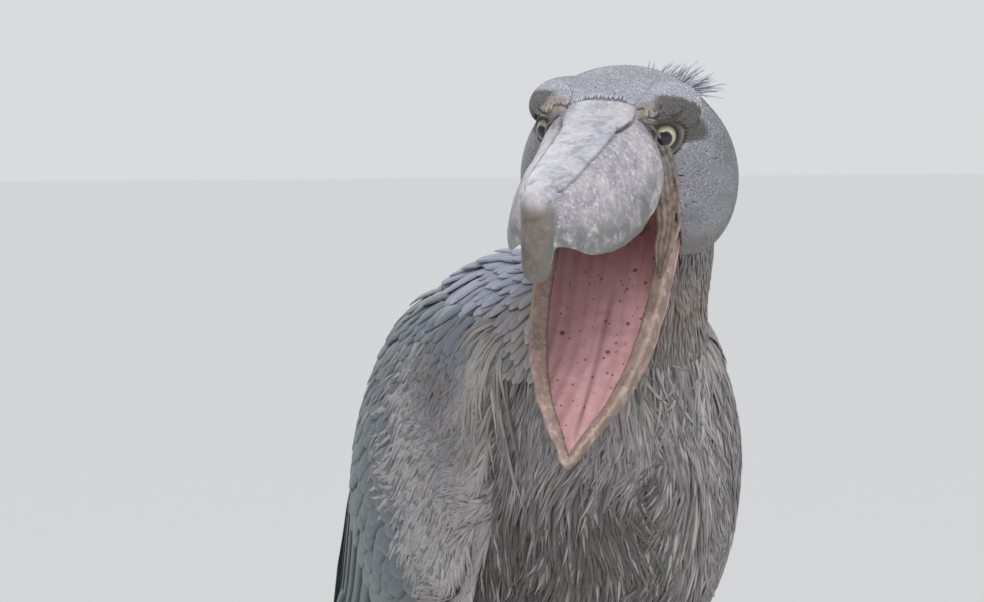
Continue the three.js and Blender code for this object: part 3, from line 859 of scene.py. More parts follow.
@dataclass(frozen=True)
class EyeFinish(Finish):
    """A pale iris with radial threads round a black pupil.

    The mesh carries Gaze: the angle from the pupil, and its direction.
    """

    iris: Colour
    rim: Colour
    pupil_angle: float = 0.43
    iris_angle: float = 0.86

    def look(self, net: Net) -> Look:
        """The look of the eyeball.

        Args:
            net: The material's nodes.

        Returns:
            The inputs of the surface.
        """
        away, across, up = net.add("ShaderNodeSeparateXYZ", {0: net.own("Gaze", "Vector")}).outputs[:3]
        spread = {0: net.times(across, 14.0), 1: net.times(up, 14.0), 2: away}
        threads = net.noise(net.add("ShaderNodeCombineXYZ", spread).outputs[0], 3.0, 4.0, 0.7)
        colour = net.mix(net.grade(threads, 0.3, 0.7), dimmed(self.iris, 0.72), rgba(self.iris))
        # Painted shade of the lids on the iris's outer part
        colour = net.mix(net.grade(away, self.iris_angle * 0.7, self.iris_angle), colour, rgba(self.rim))
        near_pupil = net.grade(away, self.pupil_angle, self.pupil_angle + 0.1, 0.7, 0.0)
        colour = net.mix(near_pupil, colour, rgba(self.rim))
        beyond = net.grade(away, self.pupil_angle - 0.02, self.pupil_angle + 0.02)
        colour = net.mix(beyond, (0.002, 0.002, 0.002, 1.0), colour)
        outside = net.grade(away, self.iris_angle, self.iris_angle + 0.05)
        return {
            "Base Color": net.mix(outside, colour, (0.05, 0.045, 0.04, 1.0)),
            "Roughness": 0.3,
            "Coat Weight": 0.8,
            "Coat Roughness": 0.02,
            "Specular IOR Level": 0.1,
        }


def placed(name: str, shape: Form | bpy.types.Mesh, material: Material) -> Piece:
    """A finished piece in the scene, riding on the bird.

    Args:
        name: The piece's name.
        shape: Its form, which is freed, or its mesh, in metres.
        material: Its finish.

    Returns:
        The object.
    """
    mesh = shape
    if isinstance(shape, Form):
        mesh = bpy.data.meshes.new(name)
        shape.to_mesh(mesh)
        shape.free()
    mesh.materials.clear()
    mesh.materials.append(material)
    mesh.polygons.foreach_set("use_smooth", [True] * len(mesh.polygons))
    piece = bpy.data.objects.new(name, mesh)
    bpy.context.scene.collection.objects.link(piece)
    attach(piece, "root")
    return piece


def wrapped(around: int, along: int, place: Place) -> Form:
    """A closed skin: a UV sphere whose rows and steps are moved to where they belong.

    Args:
        around: Steps round it.
        along: Rows from pole to pole.
        place: Gives the points, in millimetres, for row 0 to 1 and turn 0 to 1.

    Returns:
        The mesh in metres, with its faces outwards.
    """
    form = bmesh.new()
    bmesh.ops.create_uvsphere(form, u_segments=around, v_segments=along, radius=1.0)
    at = np.array([v.co[:] for v in form.verts])
    row = np.arccos(np.clip(at[:, 2], -1.0, 1.0)) / math.pi
    turn = (np.arctan2(at[:, 0], at[:, 1]) / (2.0 * math.pi)) % 1.0
    turn = np.where((row < 1e-4) | (row > 1.0 - 1e-4), 0.0, np.where(turn > 1.0 - 1e-5, 0.0, turn))
    for vert, spot in zip(form.verts, place(row, turn) * MM):
        vert.co = spot
    bmesh.ops.recalc_face_normals(form, faces=form.faces[:])
    return form


def tube(
    surface: Surface, around: int, along: int, lift: float, span: tuple[float, float] = (0.0, 1.0)
) -> Form:
    """A limb or trunk as a closed skin.

    Args:
        surface: Its coat.
        around: Steps round it.
        along: Rows along it.
        lift: Millimetres outside the coat, or inside if negative.
        span: First numbers of its two ends.

    Returns:
        The mesh in metres.
    """

    def place(row: Array, turn: Array) -> Array:
        """Points of the skin, with the poles in the middle of its flat ends.

        Args:
            row: Shares from pole to pole.
            turn: Shares of a turn.

        Returns:
            Points in millimetres.
        """
        share = np.clip((row * along - 1.0) / (along - 2.0), 0.0, 1.0)
        u = span[0] + (span[1] - span[0]) * share
        spot = surface.point(u, turn * 360.0, lift)
        other = surface.point(u, turn * 360.0 + 180.0, lift)
        pole = ((row < 0.25 / along) | (row > 1.0 - 0.25 / along))[:, None]
        return np.where(pole, (spot + other) / 2, spot)

    return wrapped(around, along, place)


def coordinates(mesh: bpy.types.Mesh) -> Array:
    """Where the points of a mesh are.

    Args:
        mesh: The mesh in metres.

    Returns:
        Its points in millimetres.
    """
    spots = np.empty(len(mesh.vertices) * 3, np.float32)
    mesh.vertices.foreach_get("co", spots)
    return spots.reshape(-1, 3).astype(float) / MM


def paint(mesh: bpy.types.Mesh, name: str, colours: Array) -> None:
    """Stores a colour for each point of the mesh.

    Args:
        mesh: The mesh.
        name: Name of the attribute.
        colours: Linear light, with or without alpha.
    """
    layer = mesh.color_attributes.new(name, "FLOAT_COLOR", "POINT")
    full = np.ones((len(mesh.vertices), 4), np.float32)
    full[:, : colours.shape[1]] = colours
    layer.data.foreach_set("color", full.ravel())


class Tone(Enum):
    """Plumage and skin tones, as linear light."""

    CROWN = tone(192, 193, 205)
    CHEEK = tone(146, 147, 155)
    TEMPLE = tone(84, 82, 79)
    FACE = tone(164, 154, 142)
    THROAT = tone(134, 130, 130)
    NECK = tone(134, 127, 122)
    BREAST = tone(134, 131, 132)
    STREAK = tone(178, 175, 174)
    SHADE = tone(66, 61, 59)
    MANTLE = tone(142, 145, 162)
    COVERT = tone(76, 81, 89)
    FLIGHT = tone(50, 57, 63)
    BELLY = tone(136, 131, 129)
    MOUTH = tone(110, 78, 70)

    @property
    def rgb(self) -> Array:
        """The tone as an array."""
        return np.array(self.value)


def blended(one: Array, other: Array, share: Array) -> Array:
    """Colours between two, by a share for each point."""
    return one + (other - one) * share[..., None]


# The left eye in the head's frame: its middle, where it looks and which way the lids open
EYE_BALL = np.array([43.0, 3.0, -1.0])
GAZE = unit(np.array([0.5, -0.86, -0.02]))
OPENING = unit(np.array([0.68, -0.73, 0.03]))
EYE_ROOM, FOLD_ROOM = 19.5, 8.5


def markings_and_shade(points: Array) -> Array:
    """The bird's colours at any place of its skin and coat, with painted shade on the breast's front and
    under the bill.

    Args:
        points: Places in millimetres.

    Returns:
        A colour for each.
    """
    x, y, z = (points[..., i] for i in range(3))
    head = to_head(points)
    aside, ahead, up = np.abs(head[..., 0]), -head[..., 1], head[..., 2]
    tint = blended(Tone.BELLY.rgb, Tone.BREAST.rgb, ramp(z, 560.0, 660.0))
    front = ramp(y, 20.0, -90.0)
    # Painted shade between the clumps of plumes on the breast's front
    tint = blended(tint, Tone.SHADE.rgb, 0.7 * ramp(ripple(points, 130.0, 4), 0.1, 1.0) * front)
    # Painted shadow of the bill on the breast below it
    under_bill = ramp(z, 790.0, 725.0) * ramp(np.abs(x + 40.0), 120.0, 45.0)
    tint = blended(tint, Tone.SHADE.rgb, 0.75 * front * under_bill)
    back = ramp(z + (y - 20.0) * 0.62, 772.0, 806.0)
    tint = blended(tint, Tone.MANTLE.rgb, back)
    tint = blended(tint, Tone.NECK.rgb, ramp(y, -130.0, -175.0) * ramp(z, 840.0, 880.0))
    on_head = ramp(ahead, -150.0, -105.0) * ramp(up, -125.0, -85.0)
    skull = blended(Tone.CHEEK.rgb, Tone.CROWN.rgb, ramp(up, -25.0, 25.0))
    skull = blended(skull, Tone.THROAT.rgb, ramp(up, -70.0, -100.0))
    skull = skull * (1.0 + 0.1 * ripple(points, 34.0, 8) + 0.06 * ripple(points, 12.0, 9))[..., None]
    long = ((ahead + 4.0) * 0.81 + (up - 10.0) * 0.59) / 34.0
    tall = ((up - 10.0) * 0.81 - (ahead + 4.0) * 0.59) / 15.0
    skull = blended(skull, Tone.TEMPLE.rgb, ramp(np.hypot(long, tall), 1.1, 0.9) * ramp(aside, 38.0, 48.0))
    brow = np.hypot((ahead - 19.0) / 10.0, (up - 23.0) / 7.0)
    on_brow = ramp(brow, 1.2, 0.8) * ramp(aside, 28.0, 33.0) * ramp(aside, 47.0, 42.0)
    skull = blended(skull, Tone.FACE.rgb, on_brow)
    under = np.hypot((ahead - 1.0) / 7.0, (up + 13.0) / 7.0)
    skull = blended(skull, Tone.FACE.rgb, 0.8 * ramp(under, 1.3, 0.7) * ramp(aside, 38.0, 44.0))
    return blended(tint, skull, on_head)


# Stations of the upper bill: way ahead, half width, height of its crest and of its cutting edge
UPPER = np.array([
    [-22, 36, 12, -26],
    [7, 46, 27, -30],
    [21, 52, 24.5, -34],
    [45, 53, 20, -47],
    [73, 50.5, 17, -56],
    [110, 46.5, 15, -57],
    [140, 40.5, 13.5, -53],
    [160, 33, 12, -47],
    [174, 24, 11, -38],
    [184, 15, 8, -35],
    [191, 12.5, 1, -44],
    [196, 11, -11, -52],
    [199, 8, -28, -56],
], float)
# Stations of the lower bill: way ahead, half width and depth of the pouch
LOWER = np.array([
    [-26, 44, 40],
    [0, 51, 44],
    [35, 54.5, 45],
    [70, 55, 42],
    [100, 54, 38],
    [136, 50, 32],
    [163, 43.5, 27],
    [190, 33, 21],
    [212, 21, 15],
    [230, 10.5, 10],
    [245, 0.5, 3],
], float)
BILL_BACK, BILL_TIP = -22.0, 200.0
TROUGH_BACK, TROUGH_TIP = -26.0, 245.0


def in_upper(points: Array, margin: float) -> Array:
    """Whether points lie in the upper bill.

    Args:
        points: Places in millimetres.
        margin: How far the bill is grown.

    Returns:
        True or false for each.
    """
    head = to_head(points)
    ahead, up = -head[..., 1], head[..., 2]
    wide, crest, edge = (np.interp(ahead, UPPER[:, 0], UPPER[:, i]) for i in (1, 2, 3))
    depth = (crest + margin - up) / (crest - edge + 2 * margin)
    share = np.interp(depth, [0, 0.06, 0.14, 0.42, 0.78, 1], [0.3, 0.4, 0.62, 0.86, 1, 0.98])
    near = np.abs(head[..., 0]) < (wide + margin) * share
    return near & (depth > 0) & (depth < 1) & (ahead > BILL_BACK) & (ahead < BILL_TIP)


def in_mouth(points: Array, margin: float, rise: float = 60.0) -> Array:
    """Whether points lie in the lower bill or the mouth space above it.

    Args:
        points: Places in millimetres.
        margin: How far that space is grown.
        rise: How high it reaches above the rims.

    Returns:
        True or false for each.
    """
    low = to_lower(points)
    along = -low[..., 1]
    wide, deep = (np.interp(along, LOWER[:, 0], LOWER[:, i]) for i in (1, 2))
    x, z = np.abs(low[..., 0]) / (wide + margin), low[..., 2]
    z = np.where(z > 0, z / (rise + margin), -z / (deep + margin))
    return (x ** 2.4 + z ** 2.4 < 1.0) & (along > TROUGH_BACK - margin) & (along < TROUGH_TIP)


@dataclass(frozen=True)
class Cut:
    """Outline and section of one kind of feather.

    It has half widths at shares of its length, a ring of points round each section, a thickness in
    millimetres, and a bow across the vane as a share of the half width.
    """

    at: tuple[float, ...]
    wide: tuple[float, ...]
    ring: Table
    thick: float
    bow: float


THIN_RING = ((-1.0, 0.0), (0.0, 1.0), (1.0, 0.0))
FULL_RING = ((-1.0, 0.0), (-0.5, 0.75), (0.0, 1.0), (0.5, 0.75), (1.0, 0.0), (0.0, 0.3))


class Kind(Enum):
    """Kinds of feather."""

    FUZZ = Cut((0.0, 0.55), (0.7, 1.0), THIN_RING, 0.16, 0.1)
    LOCK = Cut((0.0, 0.25, 0.55, 0.82), (0.45, 0.95, 1.0, 0.6), THIN_RING, 0.5, 0.25)
    ROUND = Cut((0.0, 0.3, 0.6, 0.82, 0.94), (0.4, 0.9, 1.0, 0.82, 0.45), FULL_RING, 0.35, 0.1)
    FLIGHT = Cut((0.0, 0.2, 0.45, 0.7, 0.86, 0.95), (0.5, 0.95, 1.0, 0.95, 0.72, 0.4), FULL_RING, 0.9, 0.12)
    @property
    def shares(self) -> Array:
        """Shares of the length at the sections and the tip."""
        return np.array(self.value.at + (1.0,))


class Plumage:
    """Feathers gathered into one mesh, with their tint, their vanes' map and their patches on the unwrap."""

    patch = 0.003

    def __init__(self) -> None:
        """Starts empty."""
        self.spots: list[Array] = []
        self.loops: list[Array] = []
        self.sizes: list[Array] = []
        self.vanes: list[Array] = []
        self.roots: list[Array] = []
        self.tints: list[Array] = []
        self.count = 0

    def blades(
        self, path: Array, up: Array, half: Array, kind: Kind, tint: Array, spot: Array, roll: float = 0.0
    ) -> None:
        """Adds feathers along given lines.

        Args:
            path: Lines, one point for each of the kind's shares and one for the tip, in millimetres.
            up: The outer side of the vane at the same points.
            half: Half width of each feather.
            kind: What feather it is.
            tint: Its colour.
            spot: Place of its root on the unwrap.
            roll: Degrees that its left edge is turned down.
        """
        cut = kind.value
        n, s, k = len(path), len(cut.at), len(cut.ring)
        ahead = unit(np.gradient(path, axis=1))
        across = unit(np.cross(up, ahead))
        up = unit(np.cross(ahead, across))
        c, d = math.cos(math.radians(roll)), math.sin(math.radians(roll))
        across, up = across * c + up * d, up * c - across * d
        ring = np.array(cut.ring)
        wide = half[:, None] * np.array(cut.wide)
        x = wide[:, :, None] * ring[:, 0]
        z = cut.thick * ring[:, 1] - cut.bow * wide[:, :, None] * ring[:, 0] ** 2
        body = path[:, :-1, None] + across[:, :-1, None] * x[..., None] + up[:, :-1, None] * z[..., None]
        points = np.concatenate([body.reshape(n, s * k, 3), path[:, -1:]], axis=1)
        faces = [list(range(k))]
        for i in range(s - 1):
            for j in range(k):
                a, b = i * k + j, i * k + (j + 1) % k
                faces.append([a, a + k, b + k, b])
        last = (s - 1) * k
        faces += [[last + j, s * k, last + (j + 1) % k] for j in range(k)]
        order = np.array([v for face in faces for v in face])
        size = np.array([len(face) for face in faces])
        across_uv = np.tile((ring[:, 0] + 1) / 2, s)
        along_uv = np.repeat(np.array(cut.at), k)
        vane = np.concatenate([stack(across_uv, along_uv), [[0.5, 1.0]]])
        base = self.count + np.arange(n)[:, None] * (s * k + 1)
        self.spots.append(points.reshape(-1, 3))
        self.loops.append((order + base).ravel())
        self.sizes.append(np.tile(size, n))
        self.vanes.append(np.tile(vane, (n, 1)))
        self.roots.append(np.repeat(spot, s * k + 1, axis=0))
        self.tints.append(np.repeat(tint, s * k + 1, axis=0))
        self.count += n * (s * k + 1)

    def lay(
        self,
        coat: Surface,
        u: Array,
        v: Array,
        way: Array,
        length: Array,
        half: Array,
        lifts: tuple[float, float, float],
        kind: Kind,
        tint: Array,
        bend: Array | float = 0.0,
        roll: float = 4.0,
        keep: Callable[[Array], Array] | None = None,
    ) -> None:
        """Adds feathers that lie on a coat.

        Args:
            coat: The form they grow on.
            u: First numbers of the roots.
            v: Second numbers of the roots.
            way: Directions in which they lie.
            length: Their lengths.
            half: Their half widths.
            lifts: How far out they lie at the root, before the middle and at the tip.
            kind: What feathers they are.
            tint: Their colours.
            bend: Sideways bow at the tip.
            roll: Degrees that shingle each over its neighbour.
            keep: Tells by root and tip which feathers to keep.
        """
        tip = coat.reach(u, v, way, length)
        t = kind.shares
        uu = u[:, None] + (tip[:, :1] - u[:, None]) * t
        vv = v[:, None] + (tip[:, 1:] - v[:, None]) * t
        root, middle, end = lifts
        lift = root + (middle - root) * ramp(t, 0.0, 0.4) + (end - middle) * ramp(t, 0.3, 1.0)
        path = coat.point(uu, vv, lift + np.zeros_like(uu))
        up = coat.axes(uu, vv)[2]
        side = unit(np.cross(up, np.gradient(path, axis=1)))
        path = path + side * (np.asarray(bend).reshape(-1, 1) * t * t)[..., None]
        spot = coat.unwrap(u, v)
        if keep is not None:
            stay = keep(path[:, 0]) & keep(path[:, -1]) & keep(path[:, len(t) // 2])
            path, up, half, tint, spot = path[stay], up[stay], half[stay], tint[stay], spot[stay]
        if len(path):
            self.blades(path, up, half, kind, tint, spot, roll)

    def finish(self, name: str, material: Material) -> Piece:
        """The feathers as one piece.

        Args:
            name: The piece's name.
            material: Its finish.

        Returns:
            The object.
        """
        spots, loops, sizes = (np.concatenate(p) for p in (self.spots, self.loops, self.sizes))
        vanes, roots, tints = (np.concatenate(p) for p in (self.vanes, self.roots, self.tints))
        mesh = bpy.data.meshes.new(name)
        mesh.vertices.add(len(spots))
        mesh.vertices.foreach_set("co", (spots * MM).ravel().astype(np.float32))
        mesh.loops.add(len(loops))
        mesh.loops.foreach_set("vertex_index", loops.astype(np.int32))
        mesh.polygons.add(len(sizes))
        mesh.polygons.foreach_set("loop_start", np.concatenate([[0], np.cumsum(sizes)[:-1]]).astype(np.int32))
        mesh.update(calc_edges=True)
        bake = roots + (vanes - 0.5) * self.patch
        for layer, values in (("OFBake", np.clip(bake, 0.0, 1.0)), ("Vane", vanes)):
            mesh.uv_layers.new(name=layer).data.foreach_set("uv", values[loops].ravel().astype(np.float32))
        paint(mesh, "Plumage", tints)
        piece = placed(name, mesh, material)
        log.info("%s: %d feathers' faces", name, len(mesh.polygons))
        return piece


def scatter(
    coat: Surface, count: int, us: tuple[float, float], vs: tuple[float, float], rng: Random
) -> tuple[Array, Array]:
    """Roots spread evenly by area.

    Args:
        coat: The form.
        count: How many, about.
        us: Range of the first number.
        vs: Range of the second.
        rng: Seeded source.

    Returns:
        First and second numbers.
    """
    u, v = rng.uniform(*us, count * 3), rng.uniform(*vs, count * 3)
    along, round_, _ = coat.axes(u, v)
    area = np.linalg.norm(np.cross(along, round_), axis=-1)
    pick = rng.uniform(0.0, 1.0, count * 3) * np.sort(area)[int(len(area) * 0.98)] < area
    return u[pick][:count], v[pick][:count]


def merged(name: str, forms: list[Form], voxel: float, smooth: int) -> bpy.types.Mesh:
    """Closed forms melted into one skin.

    Args:
        name: Name of the mesh.
        forms: The forms in metres, which are freed.
        voxel: Size of the grid in millimetres.
        smooth: Rounds of smoothing.

    Returns:
        The mesh.
    """
    whole = bpy.data.meshes.new(name)
    pile = bmesh.new()
    for form in forms:
        part = bpy.data.meshes.new(name + "_part")
        form.to_mesh(part)
        form.free()
        pile.from_mesh(part)
        bpy.data.meshes.remove(part)
    pile.to_mesh(whole)
    pile.free()
    holder = bpy.data.objects.new(name + "_form", whole)
    bpy.context.scene.collection.objects.link(holder)
    remesh = holder.modifiers.new("Melt", "REMESH")
    remesh.mode, remesh.voxel_size = "VOXEL", voxel * MM
    soft = holder.modifiers.new("Soften", "SMOOTH")
    soft.factor, soft.iterations = 0.5, smooth
    graph = bpy.context.evaluated_depsgraph_get()
    mesh = bpy.data.meshes.new_from_object(holder.evaluated_get(graph))
    mesh.name = name
    bpy.data.objects.remove(holder)
    return mesh


def carved(form: Form, tool: Form) -> Form:
    """A form with a tool's space taken out of it.

    Args:
        form: The form in metres, which is freed.
        tool: The tool, which is kept.

    Returns:
        What is left of the form.
    """
    pieces = []
    for shape in (form, tool):
        mesh = bpy.data.meshes.new("carving")
        shape.to_mesh(mesh)
        piece = bpy.data.objects.new("carving", mesh)
        bpy.context.scene.collection.objects.link(piece)
        pieces.append(piece)
    form.free()
    cutter = pieces[0].modifiers.new("Cut", "BOOLEAN")
    cutter.operation, cutter.object, cutter.solver = "DIFFERENCE", pieces[1], "EXACT"
    graph = bpy.context.evaluated_depsgraph_get()
    mesh = bpy.data.meshes.new_from_object(pieces[0].evaluated_get(graph))
    result = bmesh.new()
    result.from_mesh(mesh)
    for piece in pieces:
        bpy.data.objects.remove(piece)
    bpy.data.meshes.remove(mesh)
    return result


@dataclass
class Body:
    """The skin under the plumage, in one piece from the crown to the thighs."""

    skin: Material
    depth: float = 9.0
    voxel: float = 4.0

    def mouth(self) -> Form:
        """The open space of the mouth, which the head leaves free.

        Returns:
            The form in metres.
        """

        def place(row: Array, turn: Array) -> Array:
            """Points of the mouth space.

            Args:
                row: Shares from pole to pole.
                turn: Shares of a turn.

            Returns:
                Points in millimetres.
            """
            along = -30.0 + row * 270.0
            wide, deep = (np.interp(along, LOWER[:, 0], LOWER[:, i]) for i in (1, 2))
            angle = turn * 2.0 * math.pi
            up = np.cos(angle)
            close = np.clip(1.0 - (2.0 * row - 1.0) ** 10, 0.0, 1.0) ** 0.5
            x = (wide - 2.5) * fuller(np.sin(angle), 0.8) * close
            z = np.where(up < 0, deep - 2.5, 58.0) * up * close
            return from_lower(stack(x, -along, z))

        return wrapped(40, 30, place)

    def wing(self, side: float) -> Form:
        """The fleshy part of a folded wing.

        Args:
            side: 1 for the left and -1 for the right.

        Returns:
            The form in metres.
        """
        coat = WingCoat(TRUNK, side)

        def place(row: Array, turn: Array) -> Array:
            """Points of the wing's skin.

            Args:
                row: Shares from pole to pole.
                turn: Shares of a turn.

            Returns:
                Points in millimetres.
            """
            angle = turn * 2.0 * math.pi
            out = np.cos(angle)
            v = np.sin(angle) * np.sin(math.pi * np.clip(row, 0.001, 0.999)) ** 0.3
            inner = TRUNK.point(coat.rib(row), side * coat.angle(row, v), -12.0)
            return np.where((out > 0)[:, None], coat.point(row, v, -5.0), inner)

        return wrapped(40, 30, place)

    def build(self) -> None:
        """Makes the skin."""
        mouth = self.mouth()

        def skull(row: Array, turn: Array) -> Array:
            """Points of the head's skin."""
            return SKULL.point(row * 180.0, turn * 360.0, -3.0)

        forms = [tube(TRUNK, 72, 60, -self.depth, (0.0, 9.0))]
        forms += [carved(wrapped(96, 72, skull), mouth), carved(tube(NECK, 48, 30, -5.0), mouth)]
        forms += [tube(coat, 40, 30, -6.0) for coat in THIGHS.values()]
        forms += [self.wing(side) for side in SIDES.values()]
        mouth.free()
        mesh = merged("body_skin", forms, self.voxel, 3)
        spots = coordinates(mesh)
        colour = markings_and_shade(spots) * 0.8
        bare = in_mouth(spots, 3.0).astype(float)
        paint(mesh, "Plumage", blended(colour, Tone.MOUTH.rgb, bare))
        piece = placed("body_skin", mesh, self.skin)
        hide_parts("torso", "neck", "head", "thigh_left", "thigh_right")


@dataclass
class UpperBill:
    """The upper bill: a flat ridge between two grooves, swollen sides and a hooked nail."""

    horn: Material
    around: int = 220
    along: int = 130
    groove_depth: float = 1.5
    groove_width: float = 0.011
    nostril_depth: float = 4.0
    nostril_width: float = 0.013
    ridge_height: float = 0.9
    section: Table = (
        (0, 0),
        (0.25, 0.012),
        (0.5, 0.07),
        (0.7, 0.2),
        (0.88, 0.45),
        (1, 0.78),
        (0.98, 1),
        (0.86, 0.97),
        (0.45, 0.8),
        (0, 0.74),
    )

    def groove(self, ahead: Array) -> Array:
        """Where the groove runs, as a share of the half section from crest to palate."""
        stops = [0, 26, 48, 85, 108, 133, 153, 172, 177, 180, 185, 191]
        shares = [0.3, 0.262, 0.2, 0.2, 0.198, 0.212, 0.222, 0.246, 0.364, 0.438, 0.525, 0.66]
        return np.interp(ahead, stops, shares)

    def build(self) -> None:
        """Makes the upper bill."""
        tip = [199.5, 0.5, -59, -60]
        stations = Spline(np.vstack([UPPER, tip]))
        section = Spline(np.array(self.section))
        zones: dict[str, Array] = {}

        def place(row: Array, turn: Array) -> Array:
            """Points of the horn.

            Args:
                row: Shares from pole to pole.
                turn: Shares of a turn.

            Returns:
                Points in millimetres.
            """
            t = np.clip((row - 0.012) / 0.988, 0.0, 1.0)
            ahead, wide, crest, edge = np.moveaxis(stations.at(t), -1, 0)
            half = np.where(turn > 0.5, 1.0 - turn, turn) * 2.0
            share = section.at(half)
            side = np.where(turn > 0.5, -1.0, 1.0)
            x = share[:, 0] * wide
            line = self.groove(ahead)
            cut = np.exp(-(((half - line) / self.groove_width) ** 2))
            cut = cut * ramp(ahead, 6.0, 16.0) * ramp(ahead, 194.0, 188.0)
            ridge = ramp(half, line, line - 0.05) * ramp(ahead, 172.0, 150.0)
            slit = np.exp(-(((half - line) / self.nostril_width) ** 2))
            slit = slit * ramp(ahead, 23.0, 29.0) * ramp(ahead, 50.0, 43.0)
            drop = self.groove_depth * cut - self.ridge_height * ridge + self.nostril_depth * slit
            z = crest - (crest - edge) * share[:, 1]
            middle = (crest + edge) / 2
            away = unit(stack(x, 0.0, z - middle))
            x, z = x - away[:, 0] * drop, z - away[:, 2] * drop
            pole = row < 0.004
            x, z = np.where(pole, 0.0, x), np.where(pole, middle, z)
            zones["ridge"] = ramp(half, line + 0.012, line - 0.004) * ramp(z, -52.0, -44.0)
            zones["edge"] = ramp(np.abs(half - 0.6), 0.2, 0.04) * ramp(ahead, 10.0, 60.0)
            nail = ramp(ahead, 168.0, 184.0) * ramp(half, line + 0.01, line - 0.06) * ramp(z, 9.0, -8.0)
            zones["nail"] = np.maximum(nail, ramp(z, -48.0, -54.0))
            # Painted shade in the groove and the nostril slit and on the bill's underside, carried as the
            # Zone's blue
            zones["dark"] = np.clip(0.75 * cut + slit + 0.5 * ramp(half, 0.7, 0.8) * (ahead < 180), 0.0, 1.0)
            points = from_head(stack(x * side, -ahead, z))
            wear = ripple(points, 26.0, 3) * 0.5 + ripple(points, 11.0, 5) * 0.22
            return points + (stack(away[:, 0] * side, 0.0, away[:, 2]) @ HEAD_AXES.T) * wear[:, None]

        form = wrapped(self.around, self.along, place)
        piece = placed("upper_bill_horn", form, self.horn)
        paint(piece.data, "Zone", stack(zones["ridge"], zones["edge"], zones["dark"], zones["nail"]))
        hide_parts("upper_bill")


